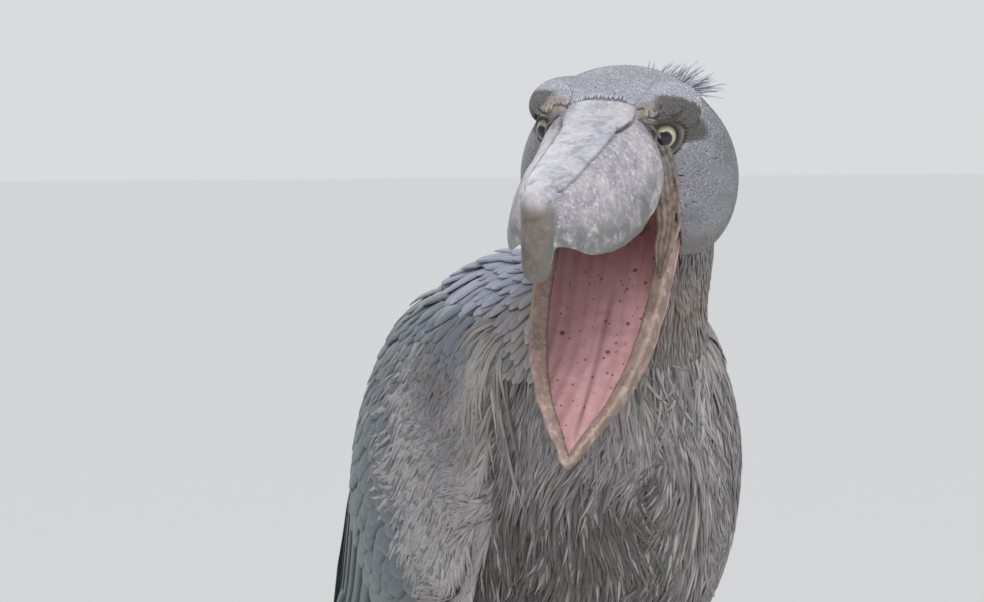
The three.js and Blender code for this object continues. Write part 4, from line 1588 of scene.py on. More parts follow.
@dataclass
class LowerBill:
    """The lower bill: two horn rims that meet in a blunt tip, and the skin pouch that hangs between them."""

    horn: Material
    skin: Material
    wall: float = 3.0
    section: Table = (
        (0.0, -0.5),
        (-2.5, 0.6),
        (-7.0, -1.2),
        (-11.5, -4.5),
        (-14.0, -8.0),
        (-12.5, -10.0),
        (-7.0, -11.0),
        (-3.0, -15.0),
        (0.2, -16.0),
        (1.4, -9.0),
        (0.9, -3.0),
    )

    def rims(self) -> None:
        """The horn of both sides and the tip."""
        right = LOWER[:-1, :2]
        line = np.vstack([right * [1, 1], [[241.5, 5.0], [245, 0.0], [241.5, -5.0]], (right * [1, -1])[::-1]])
        path = Spline(stack(line[:, 1], -line[:, 0], 0.0))
        ring = Spline(self.section + self.section[:1])
        zones: dict[str, Array] = {}

        def place(row: Array, turn: Array) -> Array:
            """Points of the rims.

            Args:
                row: Shares from pole to pole.
                turn: Shares of a turn.

            Returns:
                Points in millimetres.
            """
            spot = path.at(row)
            ahead = unit(path.at(np.minimum(row + 0.004, 1.0)) - path.at(np.maximum(row - 0.004, 0.0)))
            out = stack(ahead[:, 1], -ahead[:, 0], 0.0) * -1.0
            along = -spot[:, 1]
            size = np.interp(along, [-26, 10, 60, 150, 245], [0.45, 0.8, 1.0, 1.0, 0.5])
            share = ring.at(turn)
            close = np.clip(1.0 - (2.0 * row - 1.0) ** 60, 0.0, 1.0) ** 0.5
            x = (share[:, 0] * close - 5.0 * (1.0 - close)) * size
            z = (share[:, 1] * close - 7.0 * (1.0 - close)) * size + 1.0
            inner = ramp(-share[:, 0], 7.0, 13.0)
            zones["ridge"] = ramp(-share[:, 0], 6.0, 1.0) * (share[:, 1] > -4)
            zones["edge"] = 0.55 + 0.4 * ramp(share[:, 0], -1.0, 1.0)
            # Painted shade on the inner lip by the pouch and towards the mouth's corner, carried as the
            # Zone's blue
            dark = 0.7 * ramp(-share[:, 0], 11.5, 14.0) + 0.5 * ramp(along, 10.0, -20.0)
            zones["dark"] = np.clip(dark, 0.0, 1.0)
            points = from_lower(spot + out * x[:, None] + stack(0.0, 0.0, z))
            rough = ripple(points, 17.0, 9) * 0.5 + ripple(points, 6.0, 10) * 0.35 * inner
            return points + rough[:, None] * np.array([0.6, -0.6, 0.3])

        form = wrapped(44, 300, place)
        piece = placed("lower_bill_rims", form, self.horn)
        paint(piece.data, "Zone", stack(zones["ridge"], zones["edge"], zones["dark"], 0.0))
        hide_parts("lower_bill")

    def pouch(self) -> None:
        """The pouch skin, inside and outside, closed towards the throat."""
        table = Spline(LOWER)
        zones: dict[str, Array] = {}

        def place(row: Array, turn: Array) -> Array:
            """Points of the pouch.

            Args:
                row: Shares from pole to pole.
                turn: Shares of a turn.

            Returns:
                Points in millimetres.
            """
            along, wide, deep = np.moveaxis(table.at(np.clip(row * 1.02 - 0.02, 0.0, 0.985)), -1, 0)
            inner = (turn > 0.25) & (turn < 0.75)
            outer = np.where(turn <= 0.25, 0.5 - turn * 2.0, 1.0 - (turn - 0.75) * 2.0)
            span = np.where(inner, (turn - 0.25) * 2.0, outer)
            angle = math.pi * (span - 0.5)
            shift = np.where(inner, self.wall, 0.0)
            back = ramp(along, 14.0, -24.0)
            floor = np.where(inner, (deep - shift) * (1.0 - 0.95 * back), deep)
            bulge = 10.0 * np.cos(angle) * np.minimum(1.0, deep / 40.0)
            x = (wide + bulge - 1.5 - shift) * fuller(np.sin(angle), 0.8)
            z = -9.0 - np.maximum(floor - 9.0, 0.5) * np.cos(angle)
            fold = np.sin(x * 0.55 + 2.2 * np.sin(along * 0.035) + 1.5 * np.sin(along * 0.012 + x * 0.05))
            soft = ramp(np.cos(angle), 0.15, 0.5) * ramp(along, 238.0, 200.0)
            z = z + np.where(inner, fold * 0.7 * soft, -fold * 0.7 * soft)
            seam = np.exp(-((x / 1.6) ** 2)) * ramp(along, 70.0, 110.0) * ramp(along, 225.0, 205.0)
            z = z - np.where(inner, 1.4 * seam, 0.0)
            pole = row < 0.002
            x, z = np.where(pole, 0.0, x), np.where(pole, -deep / 2, z)
            points = from_lower(stack(x, -along, z))
            # Painted shade towards the throat, carried as the Zone's red
            zones["deep"] = ramp(along, 95.0, -5.0) * 0.9 + 0.1
            zones["horn"] = ramp(np.cos(angle), 0.45, 0.15)
            # Painted shade in the folds, along the seam and at the back, carried as the Zone's blue
            dark = 0.2 * ramp(fold, 0.4, 1.0) * soft + 0.6 * seam + 0.5 * back
            zones["fold"] = np.clip(dark, 0.0, 1.0)
            return points

        form = wrapped(180, 130, place)
        piece = placed("pouch_skin", form, self.skin)
        paint(piece.data, "Zone", stack(zones["deep"], zones["horn"], zones["fold"]))
        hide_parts("pouch")


@dataclass
class Eye:
    """One eye with its wrinkled lids."""

    side: float
    name: str
    iris: Material
    skin: Material
    ball: float = 14.0
    folds: Table = (
        (11.3, 1.9, 8.9),
        (13.2, 1.7, 8.0),
        (15.1, 1.6, 6.4),
        (16.9, 1.5, 4.3),
        (18.6, 1.4, 1.8),
    )

    def middle(self) -> Array:
        """Centre of the eyeball in the head's frame."""
        return (EYE_BALL + OPENING * 2.4) * [self.side, 1, 1]

    def build(self) -> None:
        """Makes the eyeball and the lids."""
        form = bmesh.new()
        bmesh.ops.create_icosphere(form, subdivisions=5, radius=1.0)
        way = np.array([v.co[:] for v in form.verts])
        gaze, opening = GAZE * [self.side, 1, 1], OPENING * [self.side, 1, 1]
        angle = np.arccos(np.clip(way @ gaze, -1, 1))
        out = np.arccos(np.clip(way @ opening, -1, 1))
        swell = self.ball - 0.2 + 1.0 * ramp(out, 0.8, 0.2)
        spots = from_head(way * swell[:, None] + self.middle()) * MM
        for vert, spot in zip(form.verts, spots):
            vert.co = spot
        ball = placed(f"eyeball_{self.name}", form, self.iris)
        side_way = unit(np.cross(gaze, [0, 0, 1]))
        around = np.arctan2(way @ np.cross(side_way, gaze), way @ side_way)
        layer = ball.data.attributes.new("Gaze", "FLOAT_VECTOR", "POINT")
        values = stack(angle, np.cos(around), np.sin(around)).astype(np.float32)
        layer.data.foreach_set("vector", values.ravel())
        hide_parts(f"eye_{self.name}")
        self.lids(opening)

    def lids(self, opening: Array) -> None:
        """Nested folds of bare skin round the eye.

        Args:
            opening: Unit direction in which the lids open.
        """
        pile = bmesh.new()
        turn = Vector((0, 0, 1)).rotation_difference(Vector(opening)).to_matrix().to_4x4()
        for radius, thick, ahead in self.folds:
            stand = Matrix.Translation((radius, 0, 0)) @ Matrix.Rotation(math.pi / 2, 4, "X")
            ring = bmesh.ops.create_circle(pile, segments=12, radius=thick, matrix=stand)["verts"]
            edges = list({edge for vert in ring for edge in vert.link_edges})
            whole = {"axis": (0, 0, 1), "cent": (0, 0, 0), "angle": 2 * math.pi}
            bmesh.ops.spin(pile, geom=ring + edges, steps=64, use_merge=True, **whole)
            for vert in (v for v in pile.verts if not v.tag):
                vert.co.z += ahead
                vert.tag = True
        bmesh.ops.remove_doubles(pile, verts=pile.verts[:], dist=0.02)
        bmesh.ops.recalc_face_normals(pile, faces=pile.faces[:])
        at = np.array([(turn @ v.co)[:] for v in pile.verts])
        spots = from_head(at + self.middle())
        spots = spots + ripple(spots, 7.0, 21)[:, None] * 0.35
        for vert, spot in zip(pile.verts, spots * MM):
            vert.co = spot
        lids = placed(f"lids_{self.name}", pile, self.skin)
        near = np.linalg.norm(np.cross(at, opening), axis=1)
        grey = blended(linear(44, 42, 40), linear(112, 108, 104), ramp(near, 10.0, 17.0))
        paint(lids.data, "Plumage", grey)


def head_way(points: Array) -> Array:
    """How the head's feathers lie: back from the bill, and down on the cheeks."""
    up = to_head(points)[..., 2]
    return stack(0.0 * up, 1.0 + 0.0 * up, -0.2 - 0.7 * ramp(up, -10.0, -80.0)) @ HEAD_AXES.T


def body_way(points: Array) -> Array:
    """How the body's feathers lie: down the breast and back along the sides.

    Args:
        points: Places in millimetres.

    Returns:
        Unit directions.
    """
    y = points[..., 1]
    side = (0.26 * ripple(points, 90.0, 31) + 0.16 * ripple(points, 30.0, 32)) * ramp(y, 90.0, -40.0)
    return unit(stack(side, 0.2 + 0.65 * ramp(y, -190.0, 40.0), -1.0 + 0.38 * ramp(y, -150.0, 40.0)))


# The middle of the wrinkled skin behind the left side of the bill, in the head's frame
FOLD = Spline([
    (33, -18, 17),
    (39, -15, 3),
    (44, -10, -11),
    (47, -8, -26),
    (49, -9, -40),
    (50, -9, -54),
    (51, -13, -72),
    (50, -25, -91),
    (50, -40, -108),
])


def clear_of_mouth(points: Array) -> Array:
    """Whether plumage may lie at these points, away from the open mouth."""
    return ~in_mouth(points, 2.0)


def clear_of_face(points: Array) -> Array:
    """Whether plumage may lie at these points, away from bill, mouth, eyes and bare skin.

    Args:
        points: Places in millimetres.

    Returns:
        True or false for each.
    """
    head = to_head(points)
    clear = ~in_upper(points, 1.5) & clear_of_mouth(points)
    for side in SIDES.values():
        clear &= np.linalg.norm(head - EYE_BALL * [side, 1, 1], axis=-1) > EYE_ROOM
        for knot in FOLD.at(np.linspace(0.0, 0.9, 22)):
            clear &= np.linalg.norm(head - knot * [side, 1, 1], axis=-1) > FOLD_ROOM
    return clear


@dataclass
class Gape:
    """Wrinkled bare skin between the bill's base and the cheek, from the eye down to the lower bill."""

    side: float
    name: str
    skin: Material
    strips: Table = (
        (-7.5, 2.0, 2.3, 2.2),
        (-3.3, 1.0, 2.3, 3.2),
        (1.2, 0.0, 2.2, 2.8),
        (5.2, -2.0, 2.1, 3.4),
        (9.0, -5.0, 1.8, 2.6),
    )

    def build(self) -> None:
        """Makes the folds as one melted piece."""
        forms, lines = [], []
        t = np.linspace(0.0, 1.0, 14)
        thin = np.interp(t, [0, 0.2, 0.6, 0.85, 1], [0.5, 0.9, 1.0, 0.75, 0.2])
        for aside, ahead, wide, deep in self.strips:
            line = FOLD.at(t) + np.array([aside, -ahead, 0.0]) * thin[:, None]
            line = line + ripple(line, 20.0, 52 + len(forms))[:, None] * np.array([1.5, -1.5, 0.0])
            line = from_head(line * [self.side, 1, 1]) - STAND
            stations = np.hstack([line, (thin * wide)[:, None], (thin * deep)[:, None]])
            coat = TubeCoat(stations.tolist(), HEAD_AXES @ np.array([1.0, 0.0, 0.0]))
            lines.append(coat.path.at(np.linspace(0.0, 1.0, 150)))
            forms.append(tube(coat, 20, 60, 0.0))
        mesh = merged(f"gape_skin_{self.name}", forms, 0.9, 1)
        spots = coordinates(mesh)
        height = to_head(spots)[:, 2]
        brown = blended(linear(112, 108, 105), linear(126, 110, 99), ramp(height, -15.0, -50.0))
        gaps = [np.min(np.linalg.norm(spots[:, None] - line, axis=-1), axis=1) for line in lines]
        near = np.sort(gaps, axis=0)
        shade = (1.0 + 0.35 * ripple(spots, 7.0, 51)) * (0.6 + 0.4 * ramp(near[1] - near[0], 0.0, 1.5))
        paint(mesh, "Plumage", brown * shade[:, None])
        placed(f"gape_skin_{self.name}", mesh, self.skin)


@dataclass
class Coat:
    """All the plumage, region by region."""

    soft: Material
    glossy: Material
    head_parts: Table = (("crown", 0.0, 78.0, 12500), ("cheek", 78.0, 180.0, 19500))
    neck_count: int = 7000
    breast_count: int = 15000
    flank_count: int = 3000
    thigh_count: int = 4600
    tail_slope: float = 47.0
    tail_root: tuple[float, float, float] = (0.0, 318.0, 572.0)

    def build(self) -> None:
        """Makes every region of the plumage."""
        for grow in (self.head, self.neck, self.breast, self.mantle):
            grow()
        for grow in (self.wings, self.thighs, self.tail, self.crest):
            grow()

    def shade(self, points: Array, rng: Random, spread: float) -> Array:
        """The feathers' tints: the markings and painted shade under them, each a little lighter or darker.

        Args:
            points: Their roots, in millimetres.
            rng: Seeded source.
            spread: How much they differ.

        Returns:
            A tint for each.
        """
        own = rng.normal(1.0, spread, len(points))[:, None]
        warm = 1.0 + rng.normal(0.0, 0.02, (len(points), 3))
        return np.clip(markings_and_shade(points) * np.clip(own, 0.5, 1.6) * warm, 0.0, 0.9)

    def head(self) -> None:
        """Short, dense, downy feathers of the head."""
        rng = np.random.default_rng(101)
        for name, side in SIDES.items():
            for part, low, high, count in self.head_parts:
                coat = Plumage()
                u, v = scatter(SKULL, count, (3.0, 177.0), (low, high), rng)
                v = v * side
                at = SKULL.point(u, v)
                small = ramp(-to_head(at)[:, 1], -70.0, 0.0)
                size = len(u)
                length = rng.uniform(8.0, 13.0, size) * (1.0 - 0.4 * small)
                half = rng.uniform(0.8, 1.3, size)
                way = head_way(at) + rng.normal(0, 0.06, (size, 3))
                tint = self.shade(at, rng, 0.05)
                lifts = (-2.5, -0.7, 0.2)
                coat.lay(SKULL, u, v, way, length, half, lifts, Kind.FUZZ, tint, 0.0, 0.0, clear_of_face)
                coat.finish(f"{part}_coat_{name}", self.soft)

    def neck(self) -> None:
        """Longer, looser feathers of the neck."""
        rng = np.random.default_rng(102)
        coat = Plumage()
        u, v = scatter(NECK, self.neck_count, (0.04, 0.97), (-180.0, 180.0), rng)
        at = NECK.point(u, v)
        size = len(u)
        way = np.tile([0.0, 0.1, -1.0], (size, 1)) + rng.normal(0, 0.08, (size, 3))
        length = rng.uniform(26, 46, size) + 14.0 * ramp(u, 0.4, 0.9)
        half = rng.uniform(1.4, 2.6, size)
        tint = self.shade(at, rng, 0.12) * (1.0 + 0.15 * ripple(at, 30.0, 63))[:, None]
        bend = 6.0 * ripple(at, 50.0, 64) + rng.normal(0, 3.0, size)
        lifts = (-5.0, -0.5, 3.5)
        coat.lay(NECK, u, v, way, length, half, lifts, Kind.LOCK, tint, bend, 0.0, clear_of_mouth)
        coat.finish("neck_coat", self.soft)

    def breast(self) -> None:
        """Long tapered plumes of the breast, flanks and belly."""
        rng = np.random.default_rng(103)
        for name, side in SIDES.items():
            coat = Plumage()
            u, v = scatter(TRUNK, self.breast_count // 2, (0.15, 8.6), (62.0, 180.0), rng)
            v = v * side
            at = TRUNK.point(u, v)
            size = len(u)
            front = ramp(at[:, 1], 60.0, -60.0)
            length = rng.uniform(34, 54, size) + rng.uniform(0, 44, size) * front
            cloud = 1.0 + 0.3 * ripple(at, 26.0, 61) + 0.2 * ripple(at, 80.0, 65)
            tint = self.shade(at, rng, 0.1) * cloud[:, None]
            pale = (rng.uniform(0, 1, size) < 0.2) * rng.uniform(0.2, 0.75, size)
            tint = blended(tint, Tone.STREAK.rgb, pale)
            bend = 16.0 * ripple(at, 60.0, 62) + rng.normal(0, 4.0, size)
            lifts = (-9.0, -2.0, 3.0)
            half = rng.uniform(1.5, 3.4, size)
            way = body_way(at)
            coat.lay(TRUNK, u, v, way, length, half, lifts, Kind.LOCK, tint, bend, 0.0, clear_of_mouth)
            coat.finish(f"breast_coat_{name}", self.soft)

    def mantle(self) -> None:
        """Rounded feathers of the back and shoulders, in staggered rows."""
        rng = np.random.default_rng(104)
        coat = Plumage()
        for start, end, step, reach, gap, long, wide, lift in (
            (0.15, 2.4, 0.17, 100.0, 9.0, 34.0, 8.0, 0.0),
            (2.4, 8.9, 0.26, 66.0, 15.0, 52.0, 13.0, 2.0),
        ):
            levels = np.arange(start, end, step)
            u, v = TRUNK.rows(levels, (-reach, reach), gap, rng)
            limit = np.interp(u, [0, 2.3, 3.6, 5, 7.6, 9], [100, 80, 48, 34, 26, 40])
            stay = np.abs(v) < limit
            u, v = u[stay], v[stay]
            at = TRUNK.point(u, v)
            size = len(u)
            length = rng.normal(long, long * 0.08, size)
            lifts = (-6.0 + lift, 1.0 + lift, 5.0 + lift * 2)
            half = rng.normal(wide, 0.7, size)
            tint = self.shade(at, rng, 0.09)
            bend = rng.normal(0, 2, size)
            coat.lay(TRUNK, u, v, body_way(at), length, half, lifts, Kind.ROUND, tint, bend, 4.0)
        coat.finish("mantle_coat", self.soft)

    def flank(self, name: str, form: WingCoat) -> None:
        """Pale, streaked plumes of the flank that lie over the wing's front and lower edge, with painted
        shade towards the front.

        Args:
            name: Which side.
            form: The coat of that side's wing.
        """
        rng = np.random.default_rng(109)
        coat = Plumage()
        u, v = scatter(form, self.flank_count, (-0.03, 0.5), (-0.8, 1.1), rng)
        stay = v > -0.72 + 3.0 * np.clip(u, 0.0, 1.0) + rng.normal(0, 0.3, len(u))
        u, v = u[stay], v[stay]
        at = form.point(u, v)
        size = len(u)
        pale = 0.18 + 0.25 * ripple(at, 40.0, 66) + rng.normal(0, 0.12, size) + 0.25 * ramp(u, 0.1, 0.3)
        # Painted shade on the plumes by the wing's front edge
        breast_in_shade = blended(np.tile(Tone.BREAST.rgb, (size, 1)), Tone.SHADE.rgb, 0.6 * ramp(u, 0.26, 0.06))
        tint = blended(breast_in_shade, Tone.STREAK.rgb, np.clip(pale, 0.0, 0.8))
        way = unit(body_way(at) + [0.0, 0.15, 0.0])
        half = rng.uniform(1.6, 3.2, size)
        bend = 10.0 * ripple(at, 60.0, 67) + rng.normal(0, 5.0, size)
        length = rng.uniform(30, 58, size)
        coat.lay(form, u, v, way, length, half, (0.0, 5.0, 6.0), Kind.LOCK, tint, bend, 0.0)
        coat.finish(f"flank_coat_{name}", self.soft)

    def wings(self) -> None:
        """Coverts of the folded wings and the flight feathers behind them."""
        for name, side in SIDES.items():
            rng = np.random.default_rng(105)
            coat = Plumage()
            form = WingCoat(TRUNK, side)
            for start, end, step, gap, long, wide, share in (
                (0.02, 0.3, 0.04, 11.0, 32.0, 8.5, 0.3),
                (0.26, 0.5, 0.05, 15.0, 48.0, 12.0, 0.15),
                (0.46, 0.68, 0.055, 20.0, 72.0, 15.0, 0.05),
            ):
                u, v = form.rows(np.arange(start, end, step), (-0.97, 0.97), gap, rng, 0.2)
                size = len(u)
                tint = blended(np.tile(Tone.COVERT.rgb, (size, 1)), Tone.MANTLE.rgb, np.full(size, share))
                tint = tint * rng.normal(1.0, 0.08, size)[:, None]
                ribs = form.rib(u)
                way = unit(TRUNK.point(ribs + 0.1, side * 80.0) - TRUNK.point(ribs, side * 80.0))
                length = rng.normal(long, long * 0.06, size)
                half = rng.normal(wide, 0.6, size)
                bend = rng.normal(0, 1.5, size)
                coat.lay(form, u, v, way, length, half, (-3.0, 3.0, 6.0), Kind.ROUND, tint, bend, -3.0 * side)
            coat.finish(f"wing_coverts_{name}", self.glossy)
            self.flank(name, form)
            self.flight(name, side, rng)

    def flight(self, name: str, side: float, rng: Random) -> None:
        """The folded flight feathers, in three fans from the lowest to the one on top.

        Args:
            name: Which side.
            side: 1 for the left and -1 for the right.
            rng: Seeded source of their tints.
        """
        coat = Plumage()
        # How many, the lowest and the highest (root, tip, half width and two lifts), and the roots' lift
        fans = (
            (9, (6.6, 104, 10.9, 62, 15, 4.5, 3), (6.2, 80, 10.2, 30, 17, 8, 9), -1.0),
            (12, (4.4, 110, 8.0, 108, 21, 8, 4), (5.6, 26, 9.3, 16, 23, 15, 10), 3.0),
            (11, (3.6, 97, 5.5, 105, 22, 14, 12), (4.2, 30, 6.4, 22, 25, 17, 15), 6.0),
        )
        t = Kind.FLIGHT.shares
        early, late = np.clip(t / 0.3, 0, 1), np.clip((t - 0.3) / 0.7, 0, 1)
        for count, first, last, sunk in fans:
            one, two = np.array(first, float), np.array(last, float)
            rows = one + (two - one) * np.linspace(0.0, 1.0, count)[:, None]
            root_u, root_v, tip_u, tip_v, half, free, end = (rows[:, i : i + 1] for i in range(7))
            u = root_u + (tip_u - root_u) * t
            v = root_v + (tip_v - root_v) * t
            lift = sunk + (free - sunk) * early + (end - free) * late
            path = TRUNK.point(u, side * v, lift)
            up = TRUNK.axes(u, side * v)[2]
            tint = Tone.FLIGHT.rgb * rng.normal(1.0, 0.07, count)[:, None]
            coat.blades(path, up, half[:, 0], Kind.FLIGHT, tint, TRUNK.unwrap(u[:, 0], v[:, 0]), -6.0 * side)
        piece = coat.finish(f"flight_feathers_{name}", self.glossy)
        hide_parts(f"wing_{name}")

    def thighs(self) -> None:
        """Short plumes of the thighs."""
        rng = np.random.default_rng(106)
        for name, form in THIGHS.items():
            coat = Plumage()
            u, v = scatter(form, self.thigh_count, (0.12, 0.98), (-180.0, 180.0), rng)
            at = form.point(u, v)
            size = len(u)
            way = np.tile([0.0, 0.12, -1.0], (size, 1)) + rng.normal(0, 0.05, (size, 3))
            length = rng.uniform(18, 30, size)
            half = rng.uniform(2.4, 3.4, size)
            tint = self.shade(at, rng, 0.12)
            bend = rng.normal(0, 2.0, size)
            coat.lay(form, u, v, way, length, half, (-5.0, -0.5, 1.5), Kind.LOCK, tint, bend, 0.0)
            coat.finish(f"thigh_coat_{name}", self.soft)

    def tail(self) -> None:
        """The tail fan and its coverts."""
        rng = np.random.default_rng(107)
        coat = Plumage()
        slope = math.radians(self.tail_slope)
        back = np.array([0.0, math.cos(slope), -math.sin(slope)])
        up = np.array([0.0, math.sin(slope), math.cos(slope)])
        root = np.array(self.tail_root) + STAND
        for kind, dye, length, half, height, pairs in (
            (Kind.FLIGHT, Tone.FLIGHT, 205.0, 20.0, 1.5, 5),
            (Kind.ROUND, Tone.COVERT, 110.0, 16.0, 7.0, 4),
            (Kind.ROUND, Tone.COVERT, 110.0, 16.0, -14.0, 4),
            (Kind.ROUND, Tone.COVERT, 66.0, 14.0, 13.0, 4),
        ):
            t = kind.shares
            ups = np.tile(up, (1, len(t), 1))
            for pair in range(pairs):
                for side in SIDES.values():
                    fan = math.radians(side * (1.6 + pair * 3.2))
                    way = back * math.cos(fan) + np.array([math.sin(fan), 0, 0])
                    start = root + np.array([side * (3 + pair * 3.2), 0, 0]) + up * (height - pair * 1.9)
                    path = start + way * (t * (length - 5 * pair))[:, None] - up * (16.0 * t * t)[:, None]
                    tint = dye.rgb * rng.normal(1, 0.05)
                    spot = np.array([[0.5 + 0.05 * side * (pair + 0.5), 0.5 + height / 40.0]])
                    coat.blades(path[None], ups, np.array([half]), kind, tint[None], spot, -4.0 * side)
        piece = coat.finish("tail_feathers", self.glossy)
        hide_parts("tail")

    def crest(self) -> None:
        """The tousled tuft behind the crown and the single bristles beside it."""
        rng = np.random.default_rng(108)
        coat = Plumage()
        tufts = (
            ((-12, -80), (-0.1, 0.2), 24, 10),
            ((2, -82), (0.2, 0.25), 28, 12),
            ((13, -82), (0.3, 0.3), 32, 12),
            ((22, -84), (0.5, 0.45), 32, 14),
            ((28, -86), (0.8, 0.5), 38, 14),
            ((31, -88), (0.9, 0.3), 36, 14),
            ((34, -90), (1.1, 0.12), 40, 14),
            ((36, -92), (1.1, -0.1), 34, 10),
        )
        for (aside, ahead), (lean, rise), length, count in tufts:
            way = unit(stack(lean, 0.8, rise) + rng.normal(0, 0.16, (count, 3)))
            spot = stack(aside + rng.normal(0, 4.0, count), -ahead + rng.normal(0, 3.0, count), 4.0)
            out = unit(spot - SKULL.middle)
            root = out * (SKULL.far(out) - 5.0)[:, None] + SKULL.middle
            t = Kind.LOCK.shares
            long = length * rng.uniform(0.6, 1.05, count)
            sag = out[:, None] * (4.0 * t * t)[:, None]
            path = root[:, None] + way[:, None] * (long[:, None] * t)[..., None] - sag
            up = np.broadcast_to(out[:, None], path.shape)
            tint = Tone.CROWN.rgb * rng.normal(0.8, 0.15, count)[:, None]
            half = rng.uniform(0.5, 1.2, count)
            place = 0.5 + (spot - SKULL.middle)[:, :2] / 240.0
            coat.blades(from_head(path), up @ HEAD_AXES.T, half, Kind.LOCK, tint, place)
        coat.finish("crest_coat", self.soft)


@dataclass
class Leg:
    """One leg below the feathers: shank, toes and claws."""

    side: float
    name: str
    skin: Material
    horn: Material
    foot_aside: float = 82.0
    foot_back: float = 22.0
    claw: float = 24.0
    scale_height: float = 0.32
    toes: Table = (
        ("middle", 6, 158, 9.5),
        ("outer", 38, 130, 9),
        ("inner", -26, 122, 9),
        ("hind", 172, 70, 9),
    )

    def toe(self, degrees: float, length: float, shape: Sequence[Sequence[float]]) -> TubeCoat:
        """The coat of a toe or a claw.

        Args:
            degrees: Way of the toe, outwards from straight ahead.
            length: Length of the toe.
            shape: Rows of share of the length, height, half width and half depth.

        Returns:
            Its coat.
        """
        aside, ahead = self.side * math.sin(math.radians(degrees)), math.cos(math.radians(degrees))
        start = np.array([self.side * self.foot_aside, self.foot_back, 0.0])
        way = np.array([aside, -ahead, 0.0])
        rows = [[*(start + way * along * length + [0, 0, up]), wide, deep] for along, up, wide, deep in shape]
        return TubeCoat(rows, (ahead, aside, 0.0))

    def build(self) -> None:
        """Makes the leg and its claws."""
        s = self.side
        shank = TubeCoat([
            (s * 71, 46, 405, 9.5, 10),
            (s * 73, 58, 330, 10, 11),
            (s * 74, 70, 270, 13, 16.5),
            (s * 76, 58, 220, 8.5, 10.5),
            (s * 81, 36, 95, 8.5, 9.5),
            (s * 82, 25, 36, 11.5, 12),
            (s * 82, 20, 18, 12, 12),
        ])
        forms = [tube(shank, 24, 80, 0.0)]
        for _, degrees, length, half in self.toes:
            shape = [
                (-0.04, 15, half, 12),
                (0.12, 11, half, 11.5),
                (0.33, 7.5, half + 0.8, 8.4),
                (0.5, 6.5, half - 1, 7),
                (0.68, 6.2, half - 0.2, 7),
                (0.86, 5.4, half - 2.2, 6),
                (1, 5.2, half - 3, 5.4),
            ]
            forms.append(tube(self.toe(degrees, length, shape), 24, 40, 0.0))
        mesh = merged(f"leg_skin_{self.name}", forms, 1.6, 2)
        self.scales(mesh)
        leg = placed(f"leg_skin_{self.name}", mesh, self.skin)
        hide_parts(f"shank_{self.name}", f"foot_{self.name}")
        for toe, degrees, length, _ in self.toes:
            reach = self.claw / length
            curve = ((-0.3, 6, 3.4, 4), (0.3, 7, 3.2, 3.8), (0.7, 5.2, 2.1, 2.6), (1, 1.9, 0.7, 0.9))
            shape = [(1 + reach * past, up, wide, deep) for past, up, wide, deep in curve]
            form = tube(self.toe(degrees, length, shape), 20, 24, 0.0)
            for vert in form.verts:
                vert.co.z = max(vert.co.z, 0.0)
            nail = placed(f"claw_horn_{toe}_{self.name}", form, self.horn)
            paint(nail.data, "Plumage", np.tile(linear(52, 48, 46), (len(nail.data.vertices), 1)))
            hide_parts(f"claw_{toe}_{self.name}")

    def scales(self, mesh: bpy.types.Mesh) -> None:
        """Raises the rings of scales on the leg, flattens its soles and gives it its colour.

        Args:
            mesh: The leg's mesh in metres.
        """
        spots = coordinates(mesh)
        high = spots[:, 2]
        x = spots[:, 0] - STAND[0] - self.side * self.foot_aside
        y = spots[:, 1] - STAND[1] - self.foot_back
        rings = np.sin((high + 0.3 * spots[:, 1]) * 0.9) * ramp(high, 14.0, 30.0)
        rings = rings + np.sin(np.hypot(x, y) * 1.1) * ramp(high, 24.0, 12.0)
        normal = np.empty(len(mesh.vertices) * 3, np.float32)
        mesh.vertices.foreach_get("normal", normal)
        spots = spots + normal.reshape(-1, 3) * (rings * self.scale_height)[:, None]
        spots[:, 2] = np.maximum(spots[:, 2], 0.0)
        mesh.vertices.foreach_set("co", (spots * MM).astype(np.float32).ravel())
        shade = (1.0 + 0.12 * ripple(spots, 25.0, 41)) * (1.0 + 0.12 * rings)
        paint(mesh, "Plumage", linear(84, 84, 88) * shade[:, None])


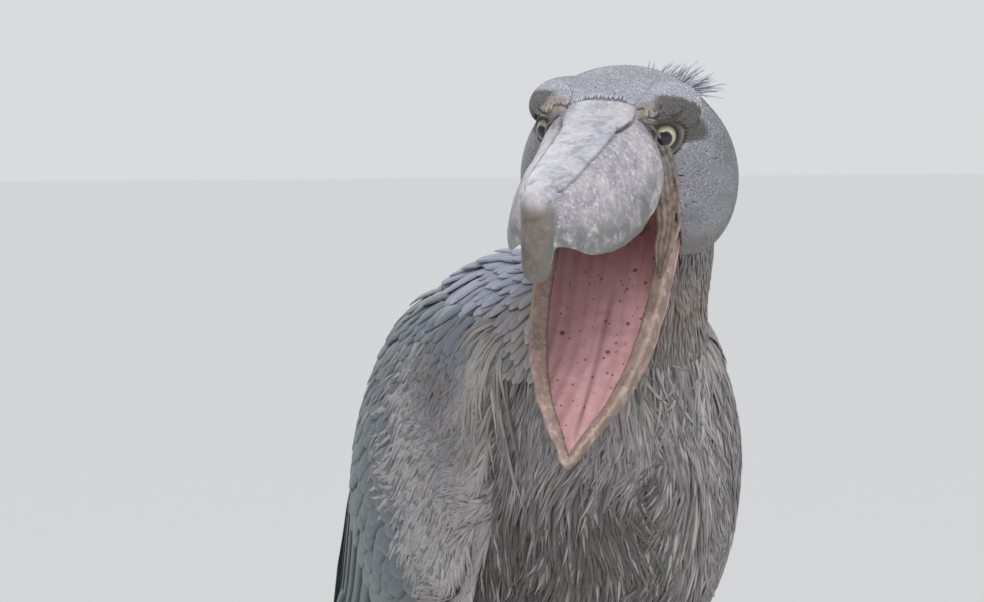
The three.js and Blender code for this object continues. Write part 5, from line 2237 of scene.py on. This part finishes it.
@dataclass
class Studio:
    """Pale floor, soft light and the camera."""

    azimuth: float = -30.0
    elevation: float = 1.5
    distance: float = 8.0
    aim: tuple[float, float, float] = (-0.1337, -0.221, 0.8636)
    scale: float = 0.0008
    width: int = 984
    sensor: float = 36.0
    floor_size: float = 60.0
    lit: tuple[float, float, float] = (-0.05, -0.15, 0.75)
    lamps: Table = (
        ("key", (-1.6, -3.4, 3.6), 2.2, 102.0),
        ("fill", (2.6, -2.8, 1.8), 2.4, 23.0),
        ("back", (0.8, 3.0, 3.0), 2.4, 46.0),
    )

    def build(self) -> None:
        """Makes floor, lights and camera."""
        self.floor()
        self.lights()
        self.camera()

    def floor(self) -> None:
        """A wide, plain, pale floor."""
        form = bmesh.new()
        bmesh.ops.create_grid(form, x_segments=2, y_segments=2, size=self.floor_size)
        mesh = bpy.data.meshes.new("floor")
        form.to_mesh(mesh)
        form.free()
        floor = bpy.data.objects.new("floor", mesh)
        bpy.context.scene.collection.objects.link(floor)
        pale = bpy.data.materials.new("pale floor")
        pale.use_nodes = True
        surface = pale.node_tree.nodes["Principled BSDF"].inputs
        surface["Base Color"].default_value = (0.93, 0.93, 0.92, 1)
        surface["Roughness"].default_value = 0.9
        mesh.materials.append(pale)

    def lights(self) -> None:
        """A pale sky and three soft lamps that face the bird."""
        world = bpy.data.worlds.new("soft studio")
        bpy.context.scene.world = world
        world.use_nodes = True
        sky = world.node_tree.nodes["Background"]
        sky.inputs[0].default_value = (0.97, 0.98, 1.0, 1)
        sky.inputs[1].default_value = 0.72
        bpy.context.scene.view_settings.view_transform = "Standard"
        for name, at, size, power in self.lamps:
            light = bpy.data.lights.new(name, "AREA")
            light.shape, light.size, light.energy = "DISK", size, power
            lamp = bpy.data.objects.new(name, light)
            lamp.location = at
            way = Vector(self.lit) - Vector(at)
            lamp.rotation_euler = way.to_track_quat("-Z", "Y").to_euler()
            bpy.context.scene.collection.objects.link(lamp)

    def camera(self) -> None:
        """The camera, with one pixel covering scale metres at the bird."""
        camera = bpy.data.objects.new("camera", bpy.data.cameras.new("camera"))
        bpy.context.scene.collection.objects.link(camera)
        a, e = math.radians(self.azimuth), math.radians(self.elevation)
        ahead = Vector((-math.sin(a) * math.cos(e), math.cos(a) * math.cos(e), -math.sin(e)))
        camera.location = Vector(self.aim) - ahead * self.distance
        camera.rotation_euler = ahead.to_track_quat("-Z", "Y").to_euler()
        camera.data.sensor_width = self.sensor
        camera.data.lens = self.sensor * self.distance / (self.width * self.scale)
        bpy.context.scene.camera = camera


def main() -> None:
    """Builds the bird and the studio."""
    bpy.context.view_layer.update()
    plume = FeatherFinish("soft feather").build()
    glossy = FeatherFinish("wing feather", 0.5, 0.3, 0.55, 0.3, 0.12, (0.1, 0.15, 0.15)).build()
    downy = SkinFinish("downy skin", 220.0, 0.3, 0.85).build()
    lid = SkinFinish("lid skin", 700.0, 0.8, 0.55).build()
    scaly = SkinFinish("leg skin", 420.0, 0.7, 0.6).build()
    claw = SkinFinish("claw horn", 300.0, 0.2, 0.4).build()
    upper = BillFinish(
        "upper bill horn",
        ridge=tone(188, 189, 199),
        side=tone(168, 163, 171),
        warm=tone(182, 164, 162),
        blotch=tone(88, 92, 88),
        nail=tone(92, 82, 72),
    ).build()
    rims = BillFinish(
        "lower bill horn",
        ridge=tone(190, 174, 160),
        side=tone(176, 152, 142),
        warm=tone(170, 128, 116),
        blotch=tone(100, 78, 68),
    ).build()
    pouch = PouchFinish("pouch skin", tone(212, 168, 172), tone(158, 98, 100), tone(96, 48, 50)).build()
    iris = EyeFinish("eye", tone(172, 174, 146), tone(92, 92, 76)).build()
    Body(downy).build()
    log.info("skin done")
    UpperBill(upper).build()
    lower = LowerBill(rims, pouch)
    lower.rims()
    lower.pouch()
    log.info("bill done")
    for name, side in SIDES.items():
        Eye(side, name, iris, lid).build()
        Gape(side, name, lid).build()
        Leg(side, name, scaly, claw).build()
    log.info("eyes and legs done")
    Coat(plume, glossy).build()
    Studio().build()


if __name__ == "__main__":
    main()
